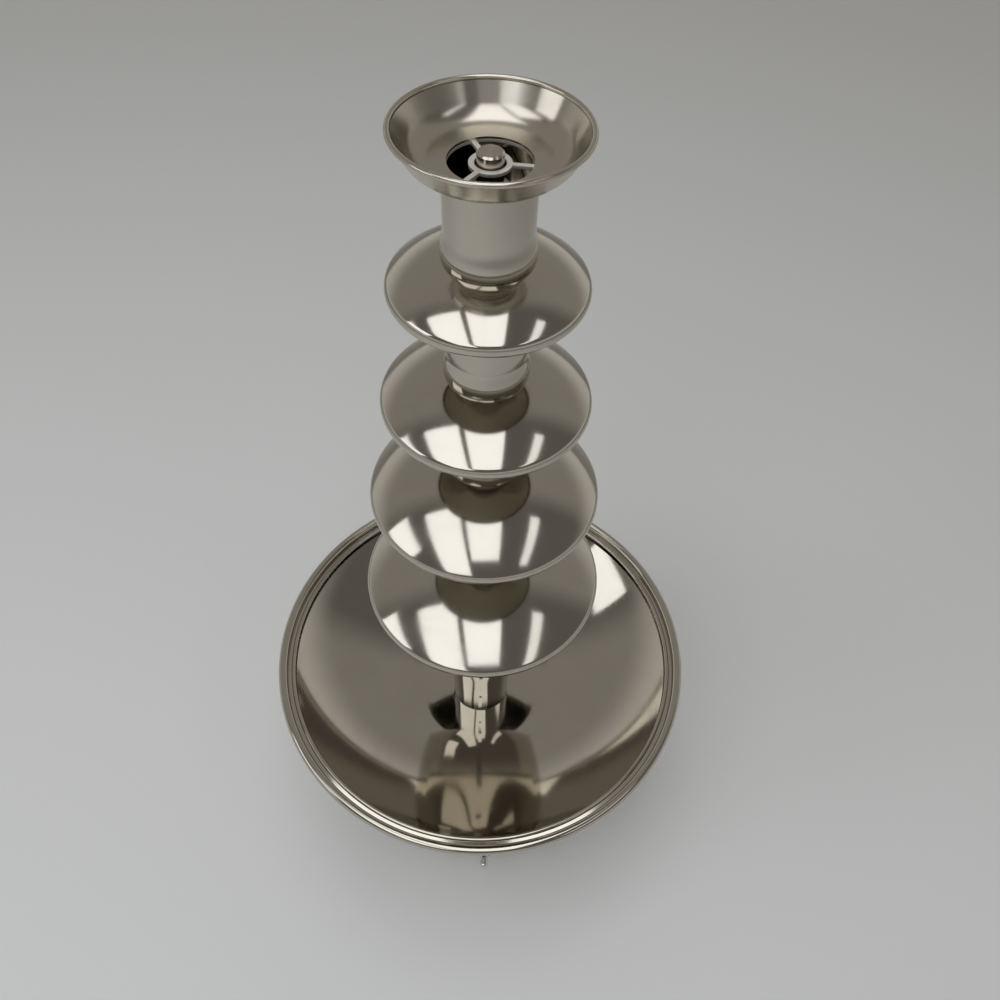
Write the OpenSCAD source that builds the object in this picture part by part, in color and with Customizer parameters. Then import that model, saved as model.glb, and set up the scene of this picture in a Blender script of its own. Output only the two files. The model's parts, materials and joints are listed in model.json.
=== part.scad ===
// Chocolate fountain: a heated bowl on a drum base, with a screw auger that lifts
// the chocolate inside a tower of stacked tube sections, each with a spun dome.
// Millimetres, +Z up, origin on the table under the tower's axis, front at -Y.

/* [Bowl] */
// Height of the bowl's rim above the table
rim_height = 178; // [165:1:200]
// Outside diameter of the bowl over its rolled bead
bowl_d = 320; // [300:1:360]
// Depth of the flat seat in the bowl's middle below the rim
floor_drop = 66; // [58:0.5:72]
// Height of the upright wall between the bowl's dish and its rim
mouth_wall = 4.3; // [3:0.1:8]
// Thickness of the bowl's sheet
bowl_sheet = 1.5; // [1:0.1:2]
// Diameter of the rolled bead round the bowl
bead_d = 7; // [5:0.1:8]
// Width of the rim from the bowl's mouth to the outside of the bead
flange_w = 13; // [11:0.1:16]
// Radius of the rounded ridge round the bowl's mouth
ridge_r = 1.7; // [1:0.1:2]
// How far the rim's flange lies below the middle of the bead
flange_drop = 1.7; // [1.2:0.1:2.2]
// Width of the flat seat outside the tower's foot
seat_margin = 29; // [27:0.5:31]

/* [Tower tube] */
// Outside diameter of the tower's tube
tube_d = 42.4; // [38:0.1:46]
// Wall of the tower's tube
tube_wall = 1.2; // [0.8:0.1:1.6]
// Height of the widened collar at the foot of each section
collar_h = 6; // [5:0.1:9]
// Radial play of a collar over the spigot below it
collar_fit = 0.3; // [0.2:0.05:0.5]
// Height of the taper between a collar and its tube
collar_taper = 1.5; // [1:0.1:3]
// Play between the end of a spigot and the shoulder above it
spigot_gap = 0.6; // [0.3:0.1:1]
// How much wider than the tube the foot of the tower is, in radius
foot_step = 1.8; // [1.2:0.1:3]
// Width of each inlet notch at the foot of the tower
notch_w = 14; // [8:0.5:18]
// Height of each inlet notch
notch_h = 15; // [12:0.5:20]
// Diameter of the small vent hole in the front of the foot
vent_d = 2.6; // [2:0.1:4]
// Height of the vent hole above the bowl's seat
vent_h = 25; // [18:0.5:60]
// Turn of the vent hole away from the front in degrees
vent_turn = -3; // [-20:1:20]

/* [Section lengths] */
// From the bowl's seat to the neck of the lowest dome
foot_section = 203; // [185:0.5:220]
// From the neck of the lowest dome to the neck of the third
section_3 = 97; // [90:0.5:110]
// From the neck of the third dome to the neck of the second
section_2 = 70.5; // [65:0.5:80]
// From the neck of the second dome to the neck of the top one
section_1 = 71.8; // [65:0.1:80]
// From the neck of the top dome to the underside of the crown
crown_section = 45.7; // [42:0.1:55]

/* [Domes] */
// Diameter of the top dome
dome_1_d = 98.8; // [92:0.1:106]
// Diameter of the second dome
dome_2_d = 115; // [106:0.5:124]
// Diameter of the third dome
dome_3_d = 139.6; // [130:0.1:150]
// Diameter of the lowest dome
dome_4_d = 160.4; // [150:0.1:170]
// Height of the top dome's neck above its widest line
rise_1 = 16.6; // [15.5:0.1:20]
// Height of the second dome's neck above its widest line
rise_2 = 19.5; // [18:0.1:22]
// Height of the third dome's neck above its widest line
rise_3 = 27.4; // [25.5:0.1:30]
// Height of the lowest dome's neck above its widest line
rise_4 = 26.6; // [25:0.1:30]
// Radius of the domes' rounded edge
shoulder_r = 5; // [4:0.1:7]
// How far the edge turns in below the widest line
lip_drop = 2.5; // [1:0.1:5]
// Fullness of a dome: 0 is a straight cone, 1 is flat at the neck
bulge = 0.6; // [0.3:0.01:0.75]
// Thickness of the domes' sheet
dome_sheet = 1; // [0.8:0.1:1.4]

/* [Crown] */
// Outside diameter of the crown over its bead
crown_d = 87; // [80:0.5:96]
// Diameter of the flat floor of the crown
crown_floor_d = 53; // [48:0.5:58]
// Inside radius of the curve from the floor to the flared wall
crown_curve_r = 12; // [10:0.1:14]
// Slope of the crown's flared wall in degrees
crown_flare = 60; // [50:1:66]
// Thickness of the crown's sheet
crown_sheet = 1; // [0.8:0.1:1.4]
// Radius of the bead round the crown
crown_bead_r = 1.3; // [0.9:0.1:2]
// How far the crown's floor reaches in past the tube's bore
crown_lip = 1.4; // [0.8:0.1:2]
// Height of the weld ring under the crown
weld_h = 3; // [2:0.1:5]
// Width of the weld ring under the crown
weld_w = 1.5; // [0.8:0.1:2.5]
// Thickness of the three-armed guide in the crown
guide_t = 1.5; // [1:0.1:3]
// Width of each arm of the guide
arm_w = 2.3; // [1.8:0.1:4]
// Width of the guide's middle ring
guide_ring_w = 2.5; // [2:0.1:4]
// Play between the guide's middle ring and the auger's pin
guide_play = 0.9; // [0.3:0.1:1.2]
// Turn of the guide's arms about the axis in degrees
guide_turn = -9; // [-60:1:60]

/* [Auger] */
// Diameter of the auger's core
core_d = 18; // [16:0.5:20]
// Diameter of the pin on top of the auger
pin_d = 12; // [10:0.1:13]
// How far the pin stands above the crown's guide
pin_proud = 5; // [3:0.1:9]
// Length of the pin below the crown's guide
pin_below = 9; // [6:0.5:14]
// Radial play between the flight and the tower's bore
flight_play = 0.75; // [0.4:0.05:1.2]
// Rise of the flight in one turn
pitch = 36; // [30:0.5:42]
// Thickness of the flight
flight_t = 2; // [1.5:0.1:3]
// Distance from the top of the flight to the pin's shoulder
flight_end = 15; // [10:0.5:30]
// Play between the flight's inner edge and the core
flight_fit = 0.05; // [0.02:0.01:0.1]

/* [Drive] */
// Diameter of the gearbox's output shaft
drive_d = 10; // [8:0.1:12]
// Radial running play of the drive shaft
drive_play = 0.05; // [0.02:0.01:0.1]
// Play of the drive shaft and its pin in the auger's socket
socket_play = 0.15; // [0.05:0.05:0.3]
// Diameter of the cross pin through the drive shaft
cross_pin_d = 4; // [3:0.1:5]
// Length of the cross pin
cross_pin_l = 17; // [15:0.5:17.5]
// Height of the cross pin above the foot of the auger
cross_pin_h = 6; // [5:0.1:8]
// How deep the socket in the auger's core is
socket_depth = 16; // [13:0.5:22]
// Height of the hub's flange inside the tower's foot
hub_flange_h = 5.5; // [4:0.1:8]
// Length of the hub's stem below the seat
hub_stem_l = 20; // [16:0.5:22]
// Outside diameter of the hub's stem
hub_stem_d = 23.8; // [22:0.1:26]
// Wall of the hub's stem round its bearing
hub_wall = 2.9; // [2:0.1:3.5]
// Thickness of the gasket under the hub
gasket_t = 1; // [0.5:0.1:2]
// Height of the shaft seal
seal_h = 7; // [5:0.1:9]
// Distance from the hub up to the auger's foot
auger_gap = 2.5; // [1.5:0.1:4]
// Play of pieces that are dropped or screwed in place
fit_play = 0.1; // [0.05:0.05:0.2]
// Height of the hub's nut
hub_nut_h = 8; // [6:0.5:10]
// Width of the hub's nut across its corners
hub_nut_d = 39; // [34:0.5:44]
// Thickness of the washer on the hub's nut
hub_washer_t = 1.5; // [1:0.1:2.5]

/* [Motor] */
// Gap from the hub's stem to the boss of the gearbox
drive_gap = 4; // [2:0.5:8]
// Height of the boss on the gearbox
boss_h = 4; // [3:0.5:6]
// Diameter of the boss on the gearbox
boss_d = 22; // [18:0.5:26]
// Thickness of the plate that carries the motor
carrier_t = 2; // [1.5:0.1:3]
// Side of the gearbox
gearbox_w = 60; // [54:1:66]
// Height of the gearbox
gearbox_h = 24; // [20:0.5:28]
// How far the output shaft reaches into the gearbox
shaft_in = 20; // [12:0.5:20]
// Diameter of the motor's can
motor_d = 58; // [50:1:62]
// Air under the motor's can
motor_air = 6; // [3:0.5:12]
// Spacing of the gearbox's four screws
gear_screw_pitch = 46; // [44:1:50]

/* [Base] */
// Outside diameter of the drum
drum_d = 222; // [212:1:232]
// Thickness of the drum's sheet
drum_sheet = 1.2; // [0.8:0.1:1.6]
// Thickness of the seal between the drum and the bowl
drum_seal_t = 1.5; // [1:0.1:3]
// Height of the rubber feet
foot_h = 10.5; // [10:0.5:16]
// Diameter of the feet at the top
foot_d = 26; // [22:0.5:30]
// Thickness of the base plate
plate_t = 1.5; // [1.2:0.1:2.5]
// Height of the lip that centres the drum on the base plate
plate_lip_h = 6; // [3:0.5:10]
// Radius of the ring of feet
foot_ring_r = 88; // [78:0.5:94]
// Radius of the ring of tie rods
tie_ring_r = 58; // [56:0.5:62]
// Diameter of the tie rods
tie_d = 8; // [7:0.1:9]
// Number of vent slots in the base plate
slots = 18; // [8:1:24]
// Length of a vent slot
slot_l = 16; // [8:0.5:20]
// Width of a vent slot
slot_w = 3; // [2:0.1:4]
// Radius where the vent slots begin
slot_r = 26; // [20:0.5:30]

/* [Heater] */
// Diameter of the heater's ring
heater_d = 160; // [145:1:165]
// Diameter of the heater's rod
heater_rod_d = 6.6; // [5:0.1:8]
// Angle left open between the heater's two ends
heater_open = 26; // [20:1:40]
// Gap between the heater and the bowl
heater_gap = 0.15; // [0.1:0.05:0.3]
// Thickness of the clips that hold the heater
clip_t = 1.2; // [0.8:0.1:2]
// Length of the thermostat's sensing bulb
bulb_l = 44; // [30:1:60]
// Diameter of the sensing bulb
bulb_d = 6; // [4:0.1:7]
// Distance of the sensing bulb from the axis
bulb_r = 40; // [36:0.5:46]
// Diameter of the overheat cut-out
cutout_d = 16; // [12:0.5:20]
// Height of the overheat cut-out
cutout_h = 7; // [5:0.5:10]

/* [Controls] */
// Height of the controls above the table
panel_h = 45; // [40:0.5:56]
// Angle between two controls round the drum
panel_step = 48; // [44:1:52]
// Diameter of a toggle's threaded bushing
bushing_d = 11.9; // [11:0.1:12.5]
// How far the bushing stands out of the drum
bushing_out = 13; // [9:0.5:14]
// Length of a toggle's bat lever from its pivot
lever_l = 12.5; // [11:0.5:18]
// Diameter of the lever's rounded end
lever_d = 6.5; // [5:0.1:7]
// Tilt of the lever from the middle in degrees
lever_tilt = 13; // [8:0.5:14]
// Diameter of the lever's pivot ball
ball_d = 6.4; // [5.6:0.1:6.8]
// Play round the pivot ball
ball_play = 0.3; // [0.2:0.05:0.4]
// Width of a toggle's nut across its corners
toggle_nut_d = 17; // [15:0.5:19]
// Diameter of the thermostat's knob
knob_d = 34; // [28:0.5:38]
// Height of the thermostat's knob
knob_h = 19; // [16:0.5:22]
// Number of flutes round the knob
flutes = 18; // [10:1:24]
// Diameter of the thermostat's spindle
spindle_d = 6; // [5:0.1:7]
// Diameter of the pilot lamp's lens
lamp_d = 9; // [7:0.1:11]
// Height of the mains inlet above the table
inlet_h = 42; // [36:0.5:60]

/* [Hidden] */
$fn = 96;
fine = 360;

steel = "silver";
satin = "lightgray";
zinc = "darkgray";
dark = "dimgray";

// Radii and heights of the bowl
floor_z = rim_height - floor_drop;
bowl_r = bowl_d / 2;
mouth_r = bowl_r - flange_w;
bead_r = bead_d / 2;
tube_r = tube_d / 2;
bore_r = tube_r - tube_wall;
foot_r = tube_r + foot_step;
foot_bore_r = foot_r - tube_wall;
seat_r = foot_r + seat_margin;
flange_top = rim_height - flange_drop;
dish_top = flange_top - mouth_wall;
dish_z = ((mouth_r ^ 2 - seat_r ^ 2) / (dish_top - floor_z) + dish_top + floor_z) / 2;
dish_r = norm([seat_r, dish_z - floor_z]);
under_r = dish_r + bowl_sheet;
function under_z(r) = r < seat_r ? floor_z - bowl_sheet : dish_z - sqrt(under_r ^ 2 - r ^ 2);

// Heights of the tower, from the bowl's seat upwards
neck_4 = floor_z + foot_section;
neck_3 = neck_4 + section_3;
neck_2 = neck_3 + section_2;
neck_1 = neck_2 + section_1;
crown_z = neck_1 + crown_section;
collar_bore_r = tube_r + collar_fit;
collar_r = collar_bore_r + tube_wall;
spigot_h = collar_h - spigot_gap;
weld_play = 0.05;
seat_play = 0.1;
crown_hole_r = bore_r - crown_lip;

// Heights of the drive
hub_top = floor_z + gasket_t + hub_flange_h;
hub_r = foot_bore_r - collar_fit;
hub_stem_r = hub_stem_d / 2;
hub_bore_r = hub_stem_r - hub_wall;
stem_z = floor_z - hub_stem_l;
drive_r = drive_d / 2;
auger_z = hub_top + auger_gap;
guide_z = crown_z - guide_t;
pin_top = crown_z + pin_proud;
shoulder_z = guide_z - pin_below;
pin_r = pin_d / 2;
core_r = core_d / 2;
flight_r = bore_r - flight_play;
flight_z = auger_z + 1;
flight_turns = (shoulder_z - flight_end - flight_z) / pitch;
turn_steps = 24;
boss_top = stem_z - drive_gap;
carrier_z = boss_top - boss_h;
gear_z = carrier_z - gearbox_h;

// Radii and heights of the base
drum_r = drum_d / 2;
drum_bore_r = drum_r - drum_sheet;
drum_top = under_z(drum_r) - drum_seal_t;
plate_top = foot_h + plate_t;
motor_z = plate_top + motor_air;
tie_angles = [30, 150, 270];
foot_angles = [45, 135, 225, 315];
front = -90;
screw_r = 2.5;
screw_grip = 15;

// A pie slice from angle a0 to a1 about the point c
module slice(c, a0, a1, reach) {
    steps = 4;
    polygon([c, for (i = [0 : steps]) let (a = a0 + (a1 - a0) * i / steps) c + reach * [cos(a), sin(a)]]);
}

// A bent strip of sheet: the ring from r_out to r_in about c, between two angles
module strip(c, r_out, r_in, a0, a1) {
    intersection() {
        difference() {
            translate(c) circle(r = r_out);
            translate(c) circle(r = r_in);
        }
        slice(c, a0, a1, 2 * r_out);
    }
}

module ring(r_out, r_in, h) {
    difference() {
        cylinder(r = r_out, h = h);
        translate([0, 0, -1]) cylinder(r = r_in, h = h + 2);
    }
}

module hex_nut(corner_d, bore, h) {
    difference() {
        cylinder(d = corner_d, h = h, $fn = 6);
        translate([0, 0, -1]) cylinder(r = bore, h = h + 2);
    }
}

// A pan-head screw whose head sits on z = 0 and whose shank points down
module screw(r, shank, head_r, head_h) {
    cylinder(r = head_r, h = head_h);
    translate([0, 0, -shank]) cylinder(r = r, h = shank + 0.01);
}

// Local frame on the drum's wall: x along the wall, y up, z outwards
module on_wall(angle, height) {
    rotate([0, 0, angle]) translate([drum_r, 0, height]) rotate([90, 0, 90]) children();
}

module around(angles, r) {
    for (a = angles) rotate([0, 0, a]) translate([r, 0, 0]) children();
}

// Crown

module crown_dish() {
    curve = [crown_floor_d / 2, crown_z + crown_sheet + crown_curve_r];
    outer = crown_curve_r + crown_sheet;
    along = [cos(crown_flare), sin(crown_flare)];
    across = [sin(crown_flare), -cos(crown_flare)];
    start = curve + across * (crown_curve_r + crown_sheet / 2);
    wall_l = (crown_d / 2 - crown_bead_r - start.x) / along.x;
    rim = start + along * wall_l;
    half = across * crown_sheet / 2;
    color(steel) rotate_extrude() {
        translate([crown_hole_r, crown_z]) square([curve.x - crown_hole_r, crown_sheet]);
        strip(curve, outer, crown_curve_r, -90, crown_flare - 90);
        polygon([start - half, start + half, rim + half, rim - half]);
        translate(rim) circle(r = crown_bead_r);
    }
}

module crown_tube() {
    color(steel) rotate_extrude() {
        section_profile(neck_1, crown_z);
        polygon([
            [tube_r - tube_wall / 2, crown_z - weld_h],
            [tube_r + weld_w / 2, crown_z - weld_h],
            [tube_r + weld_w, crown_z],
            [tube_r - tube_wall / 2, crown_z]
        ]);
    }
}

module crown_guide() {
    hole = pin_r + guide_play;
    edge = bore_r - fit_play;
    color(satin) translate([0, 0, guide_z]) {
        ring(hole + guide_ring_w, hole, guide_t);
        ring(edge, crown_hole_r, guide_t);
        for (a = [0, 120, 240]) rotate([0, 0, guide_turn + a])
            translate([hole + guide_ring_w / 2, -arm_w / 2, 0])
                cube([crown_hole_r + crown_lip / 2 - hole - guide_ring_w / 2, arm_w, guide_t]);
    }
}

// Tower sections

// A straight tube with a widened collar at its foot
module section_profile(z0, z1) {
    shoulder = z0 + collar_h;
    polygon([
        [collar_r, z0], [collar_r, shoulder], [tube_r, shoulder + collar_taper], [tube_r, z1],
        [bore_r, z1], [bore_r, shoulder + collar_taper], [collar_bore_r, shoulder], [collar_bore_r, z0]
    ]);
}

module section_tube(z0, neck) {
    color(steel) rotate_extrude() section_profile(z0, neck + spigot_h);
}

module foot_tube() {
    widen = neck_4 - collar_h;
    wide = widen - 2 * foot_step;
    color(steel) difference() {
        rotate_extrude() polygon([
            [foot_r, floor_z], [foot_r, wide], [tube_r, widen], [tube_r, neck_4 + spigot_h],
            [bore_r, neck_4 + spigot_h], [bore_r, widen], [foot_bore_r, wide], [foot_bore_r, floor_z]
        ]);
        for (a = [0, 180]) rotate([0, 0, a]) translate([0, 0, floor_z]) {
            translate([0, -notch_w / 2, -1]) cube([foot_r + 1, notch_w, notch_h - notch_w / 2 + 1]);
            translate([0, 0, notch_h - notch_w / 2]) rotate([0, 90, 0]) cylinder(d = notch_w, h = foot_r + 1);
        }
        translate([0, 0, floor_z + vent_h]) rotate([90, 0, vent_turn]) cylinder(d = vent_d, h = foot_r + 1);
    }
}

// The space under a spun dome, set in by inset from its outside: one long arc
// from the neck, tangent to the round of the edge
module dome_fill(neck, edge, inset) {
    d = edge - neck;
    slope = (atan2(-d.y, d.x) - asin(shoulder_r / norm(d))) * (1 - bulge);
    normal = [sin(slope), cos(slope)];
    arc_r = (shoulder_r ^ 2 - d * d) / (2 * (d * normal + shoulder_r));
    centre = neck - arc_r * normal;
    meet = (edge - centre) / norm(edge - centre);
    intersection() {
        translate(centre) circle(r = arc_r - inset, $fn = fine);
        translate([0, edge.y - shoulder_r])
            square([centre.x + (arc_r - inset) * meet.x, 4 * shoulder_r + norm(d)]);
    }
    translate(edge) circle(r = shoulder_r - inset);
}

module dome(edge_d, rise, collar_z) {
    neck = [tube_r, collar_z - seat_play];
    edge = [edge_d / 2 - shoulder_r, neck.y - rise];
    color(steel) rotate_extrude() intersection() {
        difference() {
            dome_fill(neck, edge, 0);
            dome_fill(neck, edge, dome_sheet);
        }
        translate([tube_r + weld_play, edge.y - lip_drop]) square([edge_d, 2 * rise]);
    }
}

module dome_1() { dome(dome_1_d, rise_1, neck_1); }
module dome_2() { dome(dome_2_d, rise_2, neck_2); }
module dome_3() { dome(dome_3_d, rise_3, neck_3); }
module dome_4() { dome(dome_4_d, rise_4, neck_4); }
module section_tube_1() { section_tube(neck_2, neck_1); }
module section_tube_2() { section_tube(neck_3, neck_2); }
module section_tube_3() { section_tube(neck_4, neck_3); }

// Auger and drive

module auger_core() {
    chamfer = 0.8;
    slot_w = cross_pin_d + 2 * socket_play;
    color(steel) difference() {
        rotate_extrude() polygon([
            [0, auger_z], [core_r, auger_z], [core_r, shoulder_z], [pin_r, shoulder_z],
            [pin_r, pin_top - chamfer], [pin_r - chamfer, pin_top], [0, pin_top]
        ]);
        translate([0, 0, auger_z - 1]) cylinder(r = drive_r + socket_play, h = socket_depth + 1);
        translate([-core_r - 1, -slot_w / 2, auger_z - 1])
            cube([2 * core_r + 2, slot_w, cross_pin_h + slot_w / 2 + 1]);
    }
}

// The screw's blade: a four-cornered section carried up a helix
module auger_flight() {
    inner = (core_r + flight_fit) / cos(180 / turn_steps);
    last = floor(flight_turns * turn_steps);
    corners = [[inner, 0], [flight_r, 0], [flight_r, flight_t], [inner, flight_t]];
    points = [
        for (i = [0 : last], c = corners)
            let (a = 360 * i / turn_steps)
            [c.x * cos(a), c.x * sin(a), flight_z + pitch * i / turn_steps + c.y]
    ];
    sides = [
        for (i = [0 : last - 1], k = [0 : 3])
            let (a = 4 * i + k, b = 4 * i + (k + 1) % 4)
            each [[a, a + 4, b + 4], [a, b + 4, b]]
    ];
    end = 4 * last;
    caps = [[0, 1, 2], [0, 2, 3], [end, end + 2, end + 1], [end, end + 3, end + 2]];
    color(steel) polyhedron(points, concat(sides, caps), convexity = 20);
}

module drive_shaft() {
    z0 = carrier_z - shaft_in;
    color(zinc) difference() {
        translate([0, 0, z0]) cylinder(r = drive_r, h = auger_z + socket_depth - 2 * socket_play - z0);
        translate([-drive_r - 1, 0, auger_z + cross_pin_h]) rotate([0, 90, 0])
            cylinder(d = cross_pin_d + fit_play, h = drive_d + 2);
    }
}

module drive_pin() {
    color(zinc) translate([-cross_pin_l / 2, 0, auger_z + cross_pin_h]) rotate([0, 90, 0])
        cylinder(d = cross_pin_d, h = cross_pin_l);
}

// Bowl and hub

module bowl() {
    mouth_a = -acos((mouth_r + bowl_sheet) / under_r);
    seat_a = -acos(seat_r / under_r);
    wall_z = under_z(mouth_r + bowl_sheet);
    color(steel) rotate_extrude() {
        strip([0, dish_z], under_r, dish_r, seat_a, mouth_a);
        translate([hub_stem_r + 2 * fit_play, floor_z - bowl_sheet])
            square([seat_r - hub_stem_r - 2 * fit_play + bowl_sheet / 4, bowl_sheet]);
        translate([mouth_r, wall_z]) square([bowl_sheet, flange_top - wall_z]);
        translate([mouth_r, flange_top - bowl_sheet]) square([flange_w - bead_r, bowl_sheet]);
        translate([mouth_r + ridge_r, flange_top]) circle(r = ridge_r);
        translate([bowl_r - bead_r, rim_height]) circle(r = bead_r);
    }
}

module bowl_hub() {
    color(zinc) difference() {
        union() {
            translate([0, 0, floor_z + gasket_t]) cylinder(r = hub_r, h = hub_flange_h);
            translate([0, 0, stem_z]) cylinder(r = hub_stem_r, h = hub_stem_l + gasket_t + 1);
        }
        translate([0, 0, stem_z - 1]) cylinder(r = hub_bore_r, h = hub_top - stem_z + 2);
    }
}

module hub_gasket() {
    color("firebrick") translate([0, 0, floor_z])
        ring(hub_r - gasket_t, hub_stem_r + fit_play, gasket_t);
}

module shaft_seal() {
    color(dark) translate([0, 0, hub_top - seal_h]) ring(hub_bore_r, drive_r + drive_play, seal_h);
}

module shaft_bush() {
    color("goldenrod") translate([0, 0, stem_z])
        ring(hub_bore_r, drive_r + drive_play, hub_top - seal_h - stem_z);
}

module hub_washer() {
    color(zinc) translate([0, 0, floor_z - bowl_sheet - hub_washer_t])
        ring(hub_r, hub_stem_r + fit_play, hub_washer_t);
}

module hub_nut() {
    color(zinc) translate([0, 0, floor_z - bowl_sheet - hub_washer_t - hub_nut_h])
        hex_nut(hub_nut_d, hub_stem_r + fit_play, hub_nut_h);
}

// Base

module base_drum() {
    hole_depth = 30;
    color(steel) difference() {
        translate([0, 0, plate_top]) ring(drum_r, drum_bore_r, drum_top - plate_top);
        for (k = [0, 1]) on_wall(front + k * panel_step, panel_h) translate([0, 0, -hole_depth])
            cylinder(d = bushing_d + 4 * fit_play, h = 2 * hole_depth);
        on_wall(front - panel_step, panel_h) translate([0, 0, -hole_depth])
            cylinder(r = collar_d / 2 + 2 * fit_play, h = 2 * hole_depth);
        on_wall(front + panel_step / 2, panel_h) translate([0, 0, -hole_depth])
            cylinder(d = lamp_d + 4 * fit_play, h = 2 * hole_depth);
        on_wall(-front, inlet_h) {
            translate([-inlet_hole.x / 2, -inlet_hole.y / 2, -hole_depth])
                cube([inlet_hole.x, inlet_hole.y, 2 * hole_depth]);
            inlet_screw_holes();
        }
    }
}

module drum_seal() {
    overlap = 3;
    side = 2;
    color(dark) rotate_extrude() difference() {
        translate([drum_bore_r - side, drum_top - overlap])
            square([drum_sheet + 2 * side, overlap + drum_seal_t + 2 * side]);
        translate([0, dish_z]) circle(r = under_r + fit_play / 2, $fn = fine);
        translate([drum_bore_r - fit_play / 2, drum_top - overlap - 1])
            square([drum_sheet + fit_play, overlap + 1]);
    }
}

module base_plate() {
    lip_r = drum_bore_r - 2 * fit_play;
    color(satin) difference() {
        union() {
            translate([0, 0, foot_h]) cylinder(r = drum_r, h = plate_t);
            translate([0, 0, foot_h]) ring(lip_r, lip_r - plate_t, plate_t + plate_lip_h);
        }
        translate([0, 0, foot_h - 1]) {
            around(tie_angles, tie_ring_r) cylinder(r = screw_r + 2 * fit_play, h = plate_t + 2);
            around(foot_angles, foot_ring_r) cylinder(r = foot_screw_r + fit_play, h = plate_t + 2);
            for (i = [0 : slots - 1]) rotate([0, 0, 360 * (i + 0.5) / slots]) translate([slot_r, 0, 0]) {
                cylinder(d = slot_w, h = plate_t + 2);
                translate([0, -slot_w / 2, 0]) cube([slot_l, slot_w, plate_t + 2]);
                translate([slot_l, 0, 0]) cylinder(d = slot_w, h = plate_t + 2);
            }
        }
    }
}

foot_screw_r = 2;
foot_head_r = 4.5;
foot_recess = 5;

module feet() {
    taper = 2;
    color(dark) around(foot_angles, foot_ring_r) difference() {
        cylinder(r1 = foot_d / 2 - taper, r2 = foot_d / 2, h = foot_h);
        translate([0, 0, -1]) cylinder(r = foot_head_r + 1, h = foot_recess + 1);
        translate([0, 0, -1]) cylinder(r = foot_screw_r + fit_play, h = foot_h + 2);
    }
}

module foot_screws() {
    head_h = 3;
    color(zinc) around(foot_angles, foot_ring_r) translate([0, 0, foot_recess]) rotate([180, 0, 0])
        screw(foot_screw_r, plate_top + foot_nut_h + 1 - foot_recess, foot_head_r, head_h);
}

foot_nut_h = 3.2;

module foot_nuts() {
    color(zinc) around(foot_angles, foot_ring_r) translate([0, 0, plate_top])
        hex_nut(4.2 * foot_screw_r, foot_screw_r + fit_play, foot_nut_h);
}

// Rods welded under the bowl that clamp the drum onto the base plate
module tie_rods() {
    color(zinc) difference() {
        around(tie_angles, tie_ring_r) difference() {
            translate([0, 0, plate_top]) cylinder(d = tie_d, h = floor_z);
            translate([0, 0, plate_top - 1]) cylinder(r = screw_r + fit_play, h = screw_grip + 2);
        }
        translate([0, 0, dish_z]) sphere(r = under_r + fit_play / 2, $fn = fine);
    }
}

module tie_screws() {
    color(zinc) around(tie_angles, tie_ring_r) translate([0, 0, foot_h]) rotate([180, 0, 0])
        screw(screw_r, plate_t + screw_grip, 2 * screw_r, 1.2 * screw_r);
}

module motor_carrier() {
    arm = 18;
    middle_r = 0.78 * gearbox_w;
    color(satin) translate([0, 0, carrier_z]) difference() {
        union() {
            cylinder(r = middle_r, h = carrier_t);
            for (a = tie_angles) rotate([0, 0, a]) {
                translate([0, -arm / 2, 0]) cube([tie_ring_r, arm, carrier_t]);
                translate([tie_ring_r, 0, 0]) cylinder(d = arm, h = carrier_t);
            }
        }
        translate([0, 0, -1]) {
            cylinder(d = boss_d + 4 * fit_play, h = carrier_t + 2);
            around(tie_angles, tie_ring_r) cylinder(d = tie_d + 2 * fit_play, h = carrier_t + 2);
            gear_screw_places() cylinder(r = foot_screw_r + fit_play, h = carrier_t + 2);
        }
    }
}

module carrier_nuts() {
    h = 0.65 * tie_d;
    color(zinc) around(tie_angles, tie_ring_r)
        for (z = [carrier_z - h, carrier_z + carrier_t]) translate([0, 0, z])
            hex_nut(1.9 * tie_d, tie_d / 2 + fit_play / 2, h);
}

module gear_screw_places() {
    for (x = [-1, 1], y = [-1, 1]) translate([x, y, 0] * gear_screw_pitch / 2) children();
}

gear_screw_l = 8;

module gearbox() {
    corner_r = 0.66 * gearbox_w;
    color(zinc) difference() {
        union() {
            intersection() {
                translate([-gearbox_w / 2, -gearbox_w / 2, gear_z]) cube([gearbox_w, gearbox_w, gearbox_h]);
                translate([0, 0, gear_z]) cylinder(r = corner_r, h = gearbox_h);
            }
            translate([0, 0, carrier_z - 1]) cylinder(d = boss_d, h = boss_h + 1);
        }
        translate([0, 0, carrier_z - shaft_in - 2 * fit_play])
            cylinder(r = drive_r + drive_play, h = gearbox_h + boss_h);
        translate([0, 0, carrier_z - gear_screw_l]) gear_screw_places()
            cylinder(r = foot_screw_r + fit_play / 2, h = gear_screw_l + 1);
    }
}

module gearbox_screws() {
    color(zinc) translate([0, 0, carrier_z + carrier_t]) gear_screw_places()
        screw(foot_screw_r, carrier_t + gear_screw_l - 1, 1.8 * foot_screw_r, 1.2 * foot_screw_r);
}

module motor_can() {
    r = motor_d / 2;
    step = 2;
    cap_h = 5;
    color("slategray") rotate_extrude() polygon([
        [0, motor_z], [r - 3 * step, motor_z], [r - step, motor_z + step], [r - step, motor_z + cap_h],
        [r, motor_z + cap_h], [r, gear_z - cap_h], [r - step, gear_z - cap_h], [r - step, gear_z], [0, gear_z]
    ]);
}

// Heater and sensors under the bowl

heater_r = heater_d / 2;
rod_r = heater_rod_d / 2;
heater_z = dish_z - sqrt((under_r + heater_gap + rod_r) ^ 2 - heater_r ^ 2);
terminal_l = 14;
clip_angles = [80, 200, 320];

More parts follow.
